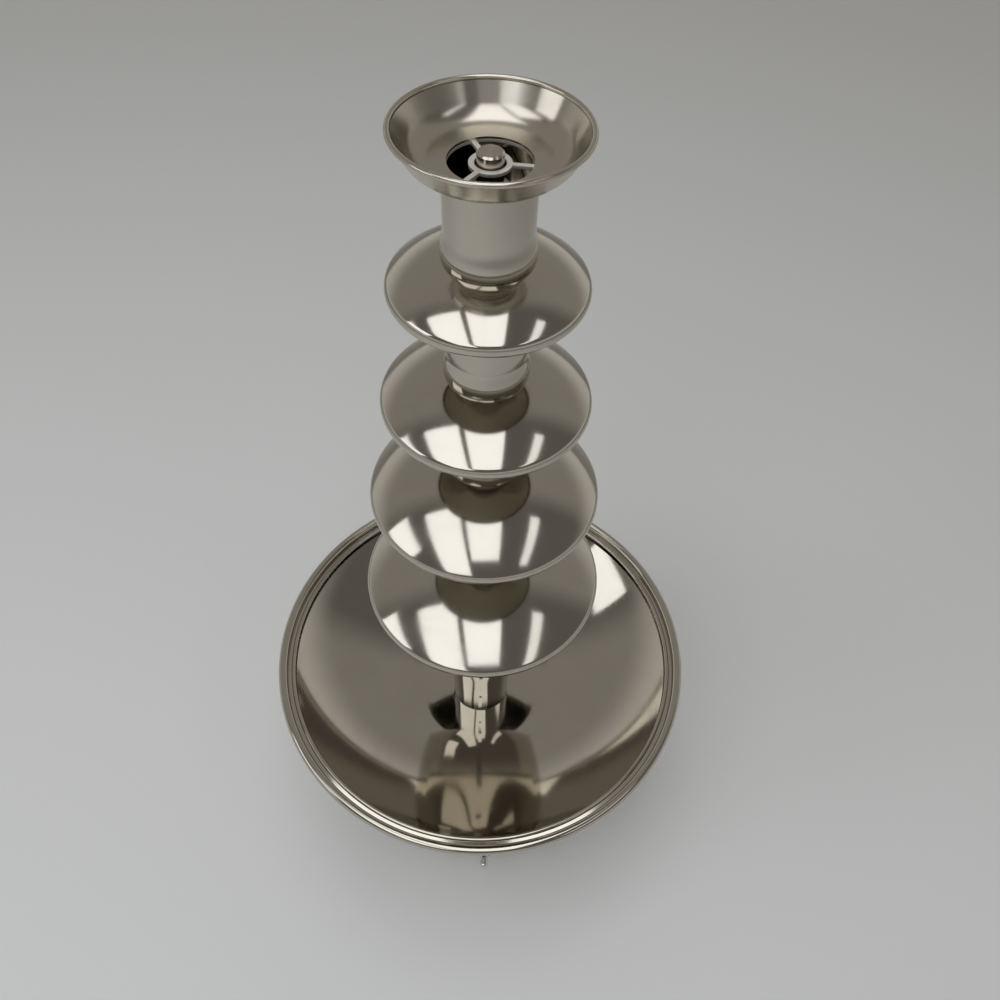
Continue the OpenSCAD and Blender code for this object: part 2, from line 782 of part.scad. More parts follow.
module heater_ring() {
    half = heater_open / 2;
    color("sienna") {
        rotate([0, 0, half - 90]) rotate_extrude(angle = 360 - heater_open)
            translate([heater_r, heater_z]) circle(r = rod_r);
        for (a = [half - 90, -half - 90]) rotate([0, 0, a]) translate([heater_r, 0, heater_z]) {
            sphere(r = rod_r);
            translate([0, 0, -terminal_l]) cylinder(r = rod_r, h = terminal_l);
        }
    }
}

// A strap round the rod, with one ear that lies against the bowl on the inner side
module heater_clip_profile() {
    c = [heater_r, heater_z];
    hug = rod_r + fit_play;
    ear = 7;
    reach = hug + clip_t;
    difference() {
        union() {
            translate(c) circle(r = reach);
            intersection() {
                translate([heater_r - reach - ear, heater_z - 2 * reach]) square([reach + ear, 4 * reach]);
                translate([0, dish_z]) circle(r = under_r + clip_t + fit_play, $fn = fine);
            }
        }
        translate(c) circle(r = hug);
        translate([0, dish_z]) circle(r = under_r + fit_play, $fn = fine);
    }
}

module heater_clips() {
    wide = 8;
    color(zinc) for (a = clip_angles) rotate([0, 0, a - wide / 2])
        rotate_extrude(angle = wide) heater_clip_profile();
}

module sensing_bulb() {
    z = under_z(bulb_r) - bulb_d / 2 - 2 * fit_play;
    color("peru") translate([-bulb_l / 2, bulb_r, z]) rotate([0, 90, 0]) cylinder(d = bulb_d, h = bulb_l);
}

module overheat_cutout() {
    tab = 4;
    color(dark) rotate([0, 0, 210]) translate([bulb_r, 0, 0]) difference() {
        union() {
            translate([0, 0, under_z(bulb_r) - cutout_h]) cylinder(d = cutout_d, h = 2 * cutout_h);
            for (y = [-1, 1]) translate([-1, y * cutout_d / 4 - 0.4, under_z(bulb_r) - cutout_h - tab])
                cube([tab, 0.8, tab + 1]);
        }
        translate([-bulb_r, 0, under_z(bulb_r) - fit_play]) cylinder(r = seat_r, h = 2 * cutout_h);
    }
}

// Toggle switches

pivot_z = bushing_out - ball_d / 2;
toggle_w = 17;
toggle_l = 29;
toggle_depth = 22;
toggle_back = wall_sag(toggle_l / 2) + drum_sheet + 3 * fit_play;
toggle_nut_h = 2.6;
function wall_sag(half) = drum_r - sqrt(drum_r ^ 2 - half ^ 2);

module toggle_body(angle) {
    color("black") on_wall(angle, panel_h) {
        translate([-toggle_l / 2, -toggle_w / 2, -toggle_back - toggle_depth])
            cube([toggle_l, toggle_w, toggle_depth]);
        for (x = [-1, 1]) translate([x * toggle_l / 3 - 0.4, -3, -toggle_back - toggle_depth - 8])
            cube([0.8, 6, 9]);
    }
}

module toggle_bushing(angle) {
    mouth = 1;
    bore = ball_d / 2 + ball_play;
    well = bushing_out - ball_d - ball_play;
    color(steel) on_wall(angle, panel_h) difference() {
        translate([0, 0, -toggle_back]) cylinder(d = bushing_d, h = bushing_out + toggle_back);
        translate([0, 0, well]) cylinder(r = bore, h = bushing_out);
        translate([0, 0, bushing_out - mouth]) cylinder(r1 = bore, r2 = bore + 2 * mouth, h = 2 * mouth);
    }
}

module toggle_nut(angle) {
    color(steel) on_wall(angle, panel_h) translate([0, 0, fit_play])
        hex_nut(toggle_nut_d, bushing_d / 2 + fit_play / 2, toggle_nut_h);
}

// A short bat lever on its pivot ball, tilted left to its off position
module toggle_lever(angle) {
    tip_r = lever_d / 2;
    neck_r = 0.29 * lever_d;
    color(steel) on_wall(angle, panel_h) translate([0, 0, pivot_z]) rotate([0, -lever_tilt, 0]) {
        sphere(d = ball_d);
        cylinder(r1 = neck_r, r2 = tip_r, h = lever_l - tip_r);
        translate([0, 0, lever_l - tip_r]) sphere(r = tip_r);
    }
}

module motor_switch_body() { toggle_body(front); }
module motor_switch_bushing() { toggle_bushing(front); }
module motor_switch_nut() { toggle_nut(front); }
module motor_switch_lever() { toggle_lever(front); }
module heat_switch_body() { toggle_body(front + panel_step); }
module heat_switch_bushing() { toggle_bushing(front + panel_step); }
module heat_switch_nut() { toggle_nut(front + panel_step); }
module heat_switch_lever() { toggle_lever(front + panel_step); }

// Thermostat

thermostat_w = 34;
thermostat_l = 30;
thermostat_depth = 28;
thermostat_back = wall_sag(thermostat_w / 2) + drum_sheet + 3 * fit_play;
collar_wall = 2;
collar_d = spindle_d + 2 * collar_wall;
collar_out = 4.5;
thermostat_nut_h = 2.8;
knob_air = 1.2;
knob_rest = 135;
spindle_top = knob_air + 0.7 * knob_h;

module thermostat_body() {
    color("black") on_wall(front - panel_step, panel_h) difference() {
        union() {
            translate([-thermostat_w / 2, -thermostat_l / 2, -thermostat_back - thermostat_depth])
                cube([thermostat_w, thermostat_l, thermostat_depth]);
            translate([0, 0, -thermostat_back - collar_wall])
                cylinder(d = collar_d, h = thermostat_back + collar_out + collar_wall);
        }
        translate([0, 0, -thermostat_back])
            cylinder(r = spindle_d / 2 + drive_play, h = 2 * collar_out + thermostat_back);
    }
}

module thermostat_nut() {
    color(zinc) on_wall(front - panel_step, panel_h) translate([0, 0, fit_play])
        hex_nut(1.65 * collar_d, collar_d / 2 + fit_play / 2, thermostat_nut_h);
}

module thermostat_spindle() {
    start = fit_play - thermostat_back;
    color(zinc) on_wall(front - panel_step, panel_h) translate([0, 0, start])
        cylinder(d = spindle_d, h = spindle_top - start);
}

module thermostat_knob() {
    skirt_h = 4;
    grip_d = knob_d - 6;
    hollow_d = 1.65 * collar_d + 2;
    hollow_h = collar_out + fit_play * 5;
    flute_r = 1.6;
    flute_out = 0.6;
    flute_gap = 0.8;
    pointer = [2, grip_d / 2 - 5, 1];
    color("black") on_wall(front - panel_step, panel_h) translate([0, 0, knob_air]) difference() {
        union() {
            cylinder(d = knob_d, h = skirt_h);
            cylinder(d = grip_d, h = knob_h);
            rotate([0, 0, knob_rest]) translate([-pointer.x / 2, 2, knob_h - pointer.z])
                cube([pointer.x, pointer.y, 2 * pointer.z]);
        }
        translate([0, 0, -1]) cylinder(d = hollow_d, h = hollow_h - knob_air + 1);
        translate([0, 0, -1])
            cylinder(r = spindle_d / 2 + fit_play / 2, h = spindle_top - knob_air + 1 + fit_play);
        for (i = [0 : flutes - 1]) rotate([0, 0, 360 * (i + 0.5) / flutes])
            translate([grip_d / 2 + flute_out, 0, skirt_h + flute_gap]) cylinder(r = flute_r, h = knob_h);
    }
}

// Pilot lamp

lamp_flange = 1.5;

module pilot_lamp_holder() {
    depth = 16;
    color("black") on_wall(front + panel_step / 2, panel_h) difference() {
        union() {
            translate([0, 0, -depth]) cylinder(d = lamp_d, h = depth + 1);
            translate([0, 0, fit_play]) cylinder(d = lamp_d + 4, h = lamp_flange);
        }
        translate([0, 0, -lamp_flange]) cylinder(d = lamp_d - 2, h = 4 * lamp_flange);
    }
}

module pilot_lamp_lens() {
    color("orange") on_wall(front + panel_step / 2, panel_h) {
        translate([0, 0, -lamp_flange])
            cylinder(d = lamp_d - 2 - fit_play, h = 2 * (lamp_flange + fit_play));
        intersection() {
            translate([0, 0, lamp_flange - lamp_d / 4]) sphere(d = lamp_d + 1);
            translate([0, 0, lamp_flange + fit_play]) cylinder(d = lamp_d + 1, h = lamp_d);
        }
    }
}

// Mains inlet at the back

inlet_hole = [28.4, 20.8];
inlet_shell = [27.6, 20];
inlet_flange = [50, 24, 2.5];
frame_size = [54, 34];
frame_out = 3.2;
inlet_screw_pitch = 40;
inlet_screw_r = 1.5;
inlet_screw_l = 10;
inlet_depth = 24;

module inlet_screw_holes() {
    for (x = [-1, 1]) translate([x * inlet_screw_pitch / 2, 0, -3 * inlet_screw_l])
        cylinder(r = inlet_screw_r + fit_play, h = 6 * inlet_screw_l);
}

// A packing frame: flat outside, curved to the drum inside
module inlet_frame() {
    sag = wall_sag(frame_size.x / 2) + 1;
    color(dark) difference() {
        on_wall(-front, inlet_h) difference() {
            translate([-frame_size.x / 2, -frame_size.y / 2, -sag])
                cube([frame_size.x, frame_size.y, sag + frame_out]);
            translate([-inlet_hole.x / 2, -inlet_hole.y / 2, -sag - 1])
                cube([inlet_hole.x, inlet_hole.y, sag + frame_out + 2]);
            inlet_screw_holes();
        }
        cylinder(r = drum_r + fit_play / 2, h = floor_z);
    }
}

inlet_wall = 1.7;
inlet_socket = 18;

module mains_inlet() {
    face = frame_out + inlet_flange.z;
    socket_w = inlet_shell.x - 2 * inlet_wall;
    socket_l = inlet_shell.y - 2 * inlet_wall;
    color("black") on_wall(-front, inlet_h) difference() {
        union() {
            translate([-inlet_flange.x / 2, -inlet_flange.y / 2, frame_out]) cube(inlet_flange);
            translate([-inlet_shell.x / 2, -inlet_shell.y / 2, -inlet_depth])
                cube([inlet_shell.x, inlet_shell.y, inlet_depth + frame_out + 1]);
        }
        translate([-socket_w / 2, -socket_l / 2, face - inlet_socket])
            cube([socket_w, socket_l, inlet_socket + 1]);
        inlet_screw_holes();
    }
}

module inlet_pins() {
    blade = [2, 4, 14];
    spread = 7;
    lift = 2;
    back = frame_out + inlet_flange.z - inlet_socket;
    color("gold") on_wall(-front, inlet_h)
        for (p = [[-spread, -lift], [0, lift], [spread, -lift]])
            translate([p.x - blade.x / 2, p.y - blade.y / 2, back]) cube(blade);
}

module inlet_screws() {
    color(zinc) on_wall(-front, inlet_h) for (x = [-1, 1])
        translate([x * inlet_screw_pitch / 2, 0, frame_out + inlet_flange.z])
            screw(inlet_screw_r, inlet_screw_l, 2 * inlet_screw_r, inlet_screw_r);
}

crown_dish();
crown_tube();
crown_guide();
dome_1();
dome_2();
dome_3();
dome_4();
section_tube_1();
section_tube_2();
section_tube_3();
foot_tube();
auger_core();
auger_flight();
drive_shaft();
drive_pin();
bowl();
bowl_hub();
hub_gasket();
shaft_seal();
shaft_bush();
hub_washer();
hub_nut();
base_drum();
drum_seal();
base_plate();
feet();
foot_screws();
foot_nuts();
tie_rods();
tie_screws();
motor_carrier();
carrier_nuts();
gearbox();
gearbox_screws();
motor_can();
heater_ring();
heater_clips();
sensing_bulb();
overheat_cutout();
motor_switch_body();
motor_switch_bushing();
motor_switch_nut();
motor_switch_lever();
heat_switch_body();
heat_switch_bushing();
heat_switch_nut();
heat_switch_lever();
thermostat_body();
thermostat_nut();
thermostat_spindle();
thermostat_knob();
pilot_lamp_holder();
pilot_lamp_lens();
inlet_frame();
mains_inlet();
inlet_pins();
inlet_screws();
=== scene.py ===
"""Looks of the chocolate fountain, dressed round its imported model."""
import json
import logging
import math
from dataclasses import dataclass
from enum import Enum
from functools import lru_cache
from typing import Any, Iterable, Optional, Sequence

import bpy
from mathutils import Matrix, Vector


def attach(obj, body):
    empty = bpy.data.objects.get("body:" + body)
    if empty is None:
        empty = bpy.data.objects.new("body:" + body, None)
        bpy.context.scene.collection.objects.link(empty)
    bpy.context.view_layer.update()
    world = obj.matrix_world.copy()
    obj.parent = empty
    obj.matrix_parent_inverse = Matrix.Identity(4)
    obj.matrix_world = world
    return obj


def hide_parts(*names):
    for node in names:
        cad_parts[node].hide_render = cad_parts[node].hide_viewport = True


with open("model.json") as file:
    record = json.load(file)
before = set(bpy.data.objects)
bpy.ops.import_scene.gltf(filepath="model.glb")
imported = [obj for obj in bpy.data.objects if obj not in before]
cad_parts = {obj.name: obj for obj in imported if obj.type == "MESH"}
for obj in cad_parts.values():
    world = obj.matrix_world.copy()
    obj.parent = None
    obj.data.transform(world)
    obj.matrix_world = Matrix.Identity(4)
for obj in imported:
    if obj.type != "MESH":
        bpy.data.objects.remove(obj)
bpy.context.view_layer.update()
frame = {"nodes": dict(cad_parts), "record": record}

LOG = logging.getLogger("fountain")
MM = 0.001
WELD = 2e-6
SMOOTH_ANGLE = math.radians(32)
Point = tuple[float, float]
Object = bpy.types.Object


def linear(colour: str) -> tuple[float, float, float, float]:
    """Turn an sRGB hex colour into linear light.

    Args:
        colour: the colour as "#rrggbb".

    Returns:
        Red, green, blue and an alpha of 1.
    """
    channels = [int(colour[i:i + 2], 16) / 255 for i in (1, 3, 5)]
    light = [c / 12.92 if c <= 0.04045 else ((c + 0.055) / 1.055) ** 2.4 for c in channels]
    return light[0], light[1], light[2], 1.0


def add_node(tree: bpy.types.NodeTree, kind: str, settings: Optional[dict[Any, Any]] = None,
             links: Optional[dict[Any, bpy.types.NodeSocket]] = None) -> bpy.types.Node:
    """Add one shader node.

    Args:
        tree: the node tree that gets the node.
        kind: the node's type.
        settings: values by attribute, or by an input's name or number.
        links: outputs of other nodes by this node's input.

    Returns:
        The new node.
    """
    node = tree.nodes.new(kind)
    for key, value in (settings or {}).items():
        if isinstance(key, str) and hasattr(node, key):
            setattr(node, key, value)
        else:
            node.inputs[key].default_value = value
    for key, source in (links or {}).items():
        tree.links.new(source, node.inputs[key])
    return node


def new_material(name: str) -> tuple[bpy.types.Material, bpy.types.NodeTree]:
    """Start an empty node material.

    Args:
        name: the material's name.

    Returns:
        The material and its node tree.
    """
    material = bpy.data.materials.new(name)
    material.use_nodes = True
    material.node_tree.nodes.clear()
    return material, material.node_tree


def close_material(tree: bpy.types.NodeTree, shader: bpy.types.Node) -> None:
    """Join a shader to the material's output."""
    add_node(tree, "ShaderNodeOutputMaterial", links={"Surface": shader.outputs[0]})


@dataclass(frozen=True)
class Steel:
    """Stainless steel that was spun or drawn and then polished with a turning wheel.

    The wheel leaves fine rings round the axis, so a reflection is drawn out along the
    wall, and handling leaves dull smears.
    """

    name: str
    tint: str
    shade: str
    roughness: float
    stretch: float
    ring_mm: float
    ring_depth: float
    smear_mm: float
    smear: float

    @lru_cache(maxsize=None)
    def material(self) -> bpy.types.Material:
        """Build the finish once and hand it out."""
        material, tree = new_material(self.name)
        place = add_node(tree, "ShaderNodeTexCoord").outputs["Object"]
        flat = add_node(tree, "ShaderNodeVectorMath", {"operation": "MULTIPLY", 1: (1, 1, 0)}, {0: place})
        radius = add_node(tree, "ShaderNodeVectorMath", {"operation": "LENGTH"}, {0: flat.outputs[0]})
        around = add_node(tree, "ShaderNodeVectorMath", {"operation": "NORMALIZE"}, {0: flat.outputs[0]})
        height = add_node(tree, "ShaderNodeSeparateXYZ", links={0: place})
        compass = add_node(tree, "ShaderNodeSeparateXYZ", links={0: around.outputs[0]})
        pitch = 1 / (self.ring_mm * MM)
        across = add_node(tree, "ShaderNodeMath", {"operation": "MULTIPLY", 1: pitch},
                          {0: radius.outputs["Value"]})
        along = add_node(tree, "ShaderNodeMath", {"operation": "MULTIPLY", 1: pitch}, {0: height.outputs["Z"]})
        path = add_node(tree, "ShaderNodeCombineXYZ",
                        links={0: across.outputs[0], 1: along.outputs[0], 2: compass.outputs["X"]})
        rings = add_node(tree, "ShaderNodeTexNoise", {"noise_dimensions": "4D", "Scale": 1.0, "Detail": 2.0},
                         {"Vector": path.outputs[0], "W": compass.outputs["Y"]})
        smears = add_node(tree, "ShaderNodeTexNoise", {"Scale": 1 / (self.smear_mm * MM), "Detail": 5.0,
                                                       "Roughness": 0.6, "Distortion": 0.8}, {"Vector": place})
        dulled = add_node(tree, "ShaderNodeMapRange", {"From Min": 0.5, "From Max": 0.75, "To Min": 0.0,
                                                       "To Max": self.smear}, {"Value": smears.outputs[0]})
        ringed = add_node(tree, "ShaderNodeMapRange", {"From Min": 0.3, "From Max": 0.7,
                                                       "To Min": self.roughness - self.ring_depth,
                                                       "To Max": self.roughness + self.ring_depth},
                          {"Value": rings.outputs[0]})
        rough = add_node(tree, "ShaderNodeMath", {"operation": "ADD", "use_clamp": True},
                         {0: ringed.outputs[0], 1: dulled.outputs[0]})
        colour = add_node(tree, "ShaderNodeMix", {"data_type": "RGBA", 6: linear(self.tint),
                                                  7: linear(self.shade)}, {0: smears.outputs[0]})
        bump = add_node(tree, "ShaderNodeBump", {"Strength": 0.25, "Distance": self.ring_depth * 0.03 * MM},
                        {"Height": rings.outputs[0]})
        tangent = add_node(tree, "ShaderNodeTangent", {"direction_type": "RADIAL", "axis": "Z"})
        shader = add_node(tree, "ShaderNodeBsdfPrincipled",
                          {"Metallic": 1.0, "Anisotropic": self.stretch, "Anisotropic Rotation": 0.25},
                          {"Base Color": colour.outputs[2], "Roughness": rough.outputs[0],
                           "Normal": bump.outputs[0], "Tangent": tangent.outputs[0]})
        close_material(tree, shader)
        return material


@dataclass(frozen=True)
class Plated:
    """Plated, cast or bare metal without a polishing direction, with a fine mottle."""

    name: str
    tint: str
    shade: str
    roughness: float
    mottle_mm: float
    relief_mm: float

    @lru_cache(maxsize=None)
    def material(self) -> bpy.types.Material:
        """Build the finish once and hand it out."""
        material, tree = new_material(self.name)
        place = add_node(tree, "ShaderNodeTexCoord").outputs["Object"]
        mottle = add_node(tree, "ShaderNodeTexNoise", {"Scale": 1 / (self.mottle_mm * MM), "Detail": 3.0},
                          {"Vector": place})
        colour = add_node(tree, "ShaderNodeMix", {"data_type": "RGBA", 6: linear(self.tint),
                                                  7: linear(self.shade)}, {0: mottle.outputs[0]})
        rough = add_node(tree, "ShaderNodeMapRange", {"From Min": 0.3, "From Max": 0.7,
                                                      "To Min": self.roughness * 0.75,
                                                      "To Max": self.roughness * 1.25}, {"Value": mottle.outputs[0]})
        bump = add_node(tree, "ShaderNodeBump", {"Strength": 0.5, "Distance": self.relief_mm * MM},
                        {"Height": mottle.outputs[0]})
        shader = add_node(tree, "ShaderNodeBsdfPrincipled", {"Metallic": 1.0},
                          {"Base Color": colour.outputs[2], "Roughness": rough.outputs[0],
                           "Normal": bump.outputs[0]})
        close_material(tree, shader)
        return material


@dataclass(frozen=True)
class Moulded:
    """Moulded plastic, rubber or paint: an even colour under a fine grain from the mould."""

    name: str
    tint: str
    shade: str
    roughness: float
    grain_mm: float
    relief_mm: float
    ior: float

    @lru_cache(maxsize=None)
    def material(self) -> bpy.types.Material:
        """Build the finish once and hand it out."""
        material, tree = new_material(self.name)
        place = add_node(tree, "ShaderNodeTexCoord").outputs["Object"]
        grain = add_node(tree, "ShaderNodeTexNoise", {"Scale": 1 / (self.grain_mm * MM), "Detail": 2.0},
                         {"Vector": place})
        cloud = add_node(tree, "ShaderNodeTexNoise", {"Scale": 0.05 / (self.grain_mm * MM), "Detail": 3.0},
                         {"Vector": place})
        colour = add_node(tree, "ShaderNodeMix", {"data_type": "RGBA", 6: linear(self.tint),
                                                  7: linear(self.shade)}, {0: cloud.outputs[0]})
        rough = add_node(tree, "ShaderNodeMapRange", {"From Min": 0.3, "From Max": 0.7,
                                                      "To Min": self.roughness * 0.85,
                                                      "To Max": self.roughness * 1.15}, {"Value": cloud.outputs[0]})
        bump = add_node(tree, "ShaderNodeBump", {"Strength": 0.6, "Distance": self.relief_mm * MM},
                        {"Height": grain.outputs[0]})
        shader = add_node(tree, "ShaderNodeBsdfPrincipled", {"IOR": self.ior},
                          {"Base Color": colour.outputs[2], "Roughness": rough.outputs[0],
                           "Normal": bump.outputs[0]})
        close_material(tree, shader)
        return material


@dataclass(frozen=True)
class Lens:
    """Clear acrylic, tinted through, with faint moulding ripples."""

    name: str
    tint: str
    roughness: float
    ripple_mm: float

    @lru_cache(maxsize=None)
    def material(self) -> bpy.types.Material:
        """Build the finish once and hand it out."""
        material, tree = new_material(self.name)
        place = add_node(tree, "ShaderNodeTexCoord").outputs["Object"]
        ripple = add_node(tree, "ShaderNodeTexNoise", {"Scale": 1 / (self.ripple_mm * MM)}, {"Vector": place})
        bump = add_node(tree, "ShaderNodeBump", {"Strength": 0.2, "Distance": 0.05 * MM},
                        {"Height": ripple.outputs[0]})
        shader = add_node(tree, "ShaderNodeBsdfPrincipled",
                          {"Base Color": linear(self.tint), "Roughness": self.roughness, "IOR": 1.49,
                           "Transmission Weight": 0.7}, {"Normal": bump.outputs[0]})
        close_material(tree, shader)
        return material


class Finish(Enum):
    """The finishes of the fountain, by the record's material slots where they share one."""

    # Wheel-polished sheet: a clear mirror, drawn out a little across the polishing rings
    POLISHED = Steel("mirror polished stainless steel", "#c2bcb0", "#b8b2a6", 0.07, 0.5, 0.8, 0.01, 34, 0.04)
    # Spun and buffed sheet: crisp dark and light shapes with slightly soft edges
    BUFFED = Steel("buffed stainless steel", "#c4beb2", "#bab4a8", 0.1, 0.6, 0.6, 0.012, 28, 0.04)
    # Turned with a fine tool: broad warm panels, blurred down the wall and sharp along it
    TURNED = Steel("turned satin stainless steel", "#c6bfb2", "#bcb5a8", 0.2, 0.8, 0.6, 0.01, 22, 0.03)
    # Sheet with a ground face: an even grey sheen without clear reflections
    SATIN = Steel("satin stainless sheet", "#c3beb4", "#b5b0a6", 0.3, 0.4, 0.4, 0.06, 30, 0.08)
    # Bead-blasted plate: pale and almost matt
    GUIDE = Steel("blasted stainless plate", "#efebe3", "#e6e2da", 0.6, 0.0, 0.3, 0.05, 10, 0.08)
    # Bright zinc plating: bluish, with a cloudy lustre
    ZINC = Plated("zinc plated steel", "#bdc0c2", "#a3a6a8", 0.32, 3.0, 0.02)
    # Chrome over polished brass: a cold clear mirror
    CHROME = Plated("chrome plated brass", "#dedfe1", "#d2d3d6", 0.06, 6.0, 0.002)
    # Drawn brass left bare: yellow and a little dulled
    BRASS = Plated("bare brass", "#c9a86a", "#b08f54", 0.28, 4.0, 0.01)
    # Pressure die-cast skin: grainy, dull and light grey
    CAST = Plated("die-cast aluminium", "#a9abad", "#96989a", 0.45, 1.2, 0.05)
    # Steel sheath oxidised by its own heat: brown, with a dull metal gleam
    SHEATH = Plated("heat-browned heater sheath", "#5e534c", "#493f3a", 0.4, 5.0, 0.02)
    # Nylon from a spark-eroded mould: black, with a fine grain that breaks up the gloss
    BLACK = Moulded("moulded black polyamide", "#1c1c1d", "#161617", 0.5, 0.35, 0.03, 1.53)
    # Thermoset from a polished mould: black with a clear soft gloss
    KNOB = Moulded("moulded black phenolic", "#17171a", "#111113", 0.3, 0.5, 0.01, 1.6)
    # Nitrile rubber: charcoal, matt and faintly dusty
    RUBBER = Moulded("moulded black rubber", "#232322", "#1a1a19", 0.75, 0.4, 0.03, 1.52)
    # Stove enamel on the motor: smooth dark grey with slight orange peel
    PAINT = Moulded("stoved grey paint", "#3b3e41", "#333639", 0.35, 0.9, 0.02, 1.5)
    # Cast acrylic jewel: clear amber that catches the light inside
    AMBER = Lens("amber acrylic", "#f2941f", 0.06, 2.0)

    def material(self) -> bpy.types.Material:
        """The finish's material."""
        return self.value.material()


SLOT_FINISH = {
    "polished_steel": Finish.BUFFED, "satin_steel": Finish.SATIN, "zinc_steel": Finish.ZINC,
    "chrome": Finish.CHROME, "black_plastic": Finish.BLACK, "knob_plastic": Finish.KNOB,
    "rubber": Finish.RUBBER, "brass": Finish.BRASS, "cast_aluminium": Finish.CAST,
    "motor_paint": Finish.PAINT, "heater_sheath": Finish.SHEATH, "amber_lens": Finish.AMBER,
}


def arc(centre: Point, radius: float, start: float, end: float, count: int) -> list[Point]:
    """Points on an arc.

    Args:
        centre: the arc's centre, as distance from the axis and height.
        radius: its radius.
        start: the first point's angle in degrees.
        end: the last point's angle in degrees.
        count: how many steps lie between them.

    Returns:
        The points, first and last included.
    """
    angles = [math.radians(start + (end - start) * i / count) for i in range(count + 1)]
    return [(centre[0] + radius * math.cos(a), centre[1] + radius * math.sin(a)) for a in angles]


def deselect() -> None:
    """Leave nothing selected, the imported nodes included."""
    bpy.ops.object.select_all(action="DESELECT")


def smooth(obj: Object) -> Object:
    """Shade a piece smooth, apart from its sharp edges."""
    deselect()
    obj.select_set(True)
    bpy.context.view_layer.objects.active = obj
    bpy.ops.object.shade_smooth_by_angle(angle=SMOOTH_ANGLE)
    return obj


def one_point(name: str) -> Object:
    """Add a plane and merge it to one point at the origin, in edit mode.

    Args:
        name: the new object's name.

    Returns:
        The object, left in edit mode with its point selected.
    """
    deselect()
    bpy.ops.mesh.primitive_plane_add(size=MM, location=(0, 0, 0))
    obj = bpy.context.active_object
    obj.name = obj.data.name = name
    bpy.ops.object.mode_set(mode="EDIT")
    bpy.ops.mesh.select_all(action="SELECT")
    bpy.ops.mesh.merge(type="CENTER")
    return obj


def turned(name: str, profile: Sequence[Point], steps: int = 144, closed: bool = True) -> Object:
    """Draw a profile by extruding a point and spin it round the Z axis.

    Args:
        name: the piece's name.
        profile: distances from the axis and heights, in millimetres.
        steps: faces round the axis.
        closed: whether the profile runs back to its first point.

    Returns:
        The turned piece, welded and with its faces outwards.
    """
    obj = one_point(name)
    points = list(profile) + ([profile[0]] if closed else [])
    bpy.ops.transform.translate(value=(points[0][0] * MM, 0, points[0][1] * MM))
    for (r0, z0), (r1, z1) in zip(points, points[1:]):
        bpy.ops.mesh.extrude_region_move(TRANSFORM_OT_translate={"value": ((r1 - r0) * MM, 0, (z1 - z0) * MM)})
    bpy.ops.mesh.select_all(action="SELECT")
    bpy.ops.mesh.remove_doubles(threshold=WELD)
    bpy.ops.mesh.spin(steps=steps, angle=math.tau, center=(0, 0, 0), axis=(0, 0, 1))
    bpy.ops.mesh.select_all(action="SELECT")
    bpy.ops.mesh.remove_doubles(threshold=WELD)
    bpy.ops.mesh.normals_make_consistent(inside=False)
    bpy.ops.object.mode_set(mode="OBJECT")
    return smooth(obj)


def moved(obj: Object, matrix: Matrix) -> Object:
    """Put a piece in its place and keep the place in its mesh."""
    deselect()
    obj.select_set(True)
    bpy.context.view_layer.objects.active = obj
    obj.matrix_world = matrix
    bpy.ops.object.transform_apply(location=True, rotation=True, scale=True)
    return obj


def applied(obj: Object, kind: str, **settings: Any) -> Object:
    """Add a modifier to a piece and apply it.

    Args:
        obj: the piece.
        kind: the modifier's type.
        settings: the modifier's values by name.

    Returns:
        The same piece.
    """
    deselect()
    obj.select_set(True)
    bpy.context.view_layer.objects.active = obj
    modifier = obj.modifiers.new(kind.lower(), kind)
    for key, value in settings.items():
        setattr(modifier, key, value)
    bpy.ops.object.modifier_apply(modifier=modifier.name)
    return obj


def joined(name: str, parts: Sequence[Object]) -> Object:
    """Join pieces into one object.

    Args:
        name: the joined object's name.
        parts: the pieces, of which the first is kept.

    Returns:
        The joined object.
    """
    deselect()
    for part in parts:
        part.select_set(True)
    bpy.context.view_layer.objects.active = parts[0]
    if len(parts) > 1:
        bpy.ops.object.join()
    parts[0].name = parts[0].data.name = name
    return parts[0]


def drilled(obj: Object, cutters: Sequence[Object]) -> Object:
    """Cut holes into a piece and remove the cutters.

    Args:
        obj: the piece.
        cutters: closed shapes that don't touch each other.

    Returns:
        The cut piece.
    """
    tool = joined(f"{obj.name}_tool", cutters)
    applied(obj, "BOOLEAN", object=tool, operation="DIFFERENCE", solver="EXACT")
    bpy.data.objects.remove(tool)
    return smooth(obj)


def rod(radius: float, low: float, high: float, steps: int = 48) -> Object:
    """A plain round cutter along Z, in millimetres."""
    return turned("rod", [(0, low), (radius, low), (radius, high), (0, high)], steps, closed=False)


def block(low: Sequence[float], high: Sequence[float]) -> Object:
    """A plain square cutter between two corners, in millimetres."""
    deselect()
    middle = [(a + b) / 2 * MM for a, b in zip(low, high)]
    bpy.ops.mesh.primitive_cube_add(size=1, location=middle)
    obj = bpy.context.active_object
    obj.scale = [(b - a) * MM for a, b in zip(low, high)]
    bpy.ops.object.transform_apply(location=True, rotation=True, scale=True)
    return obj


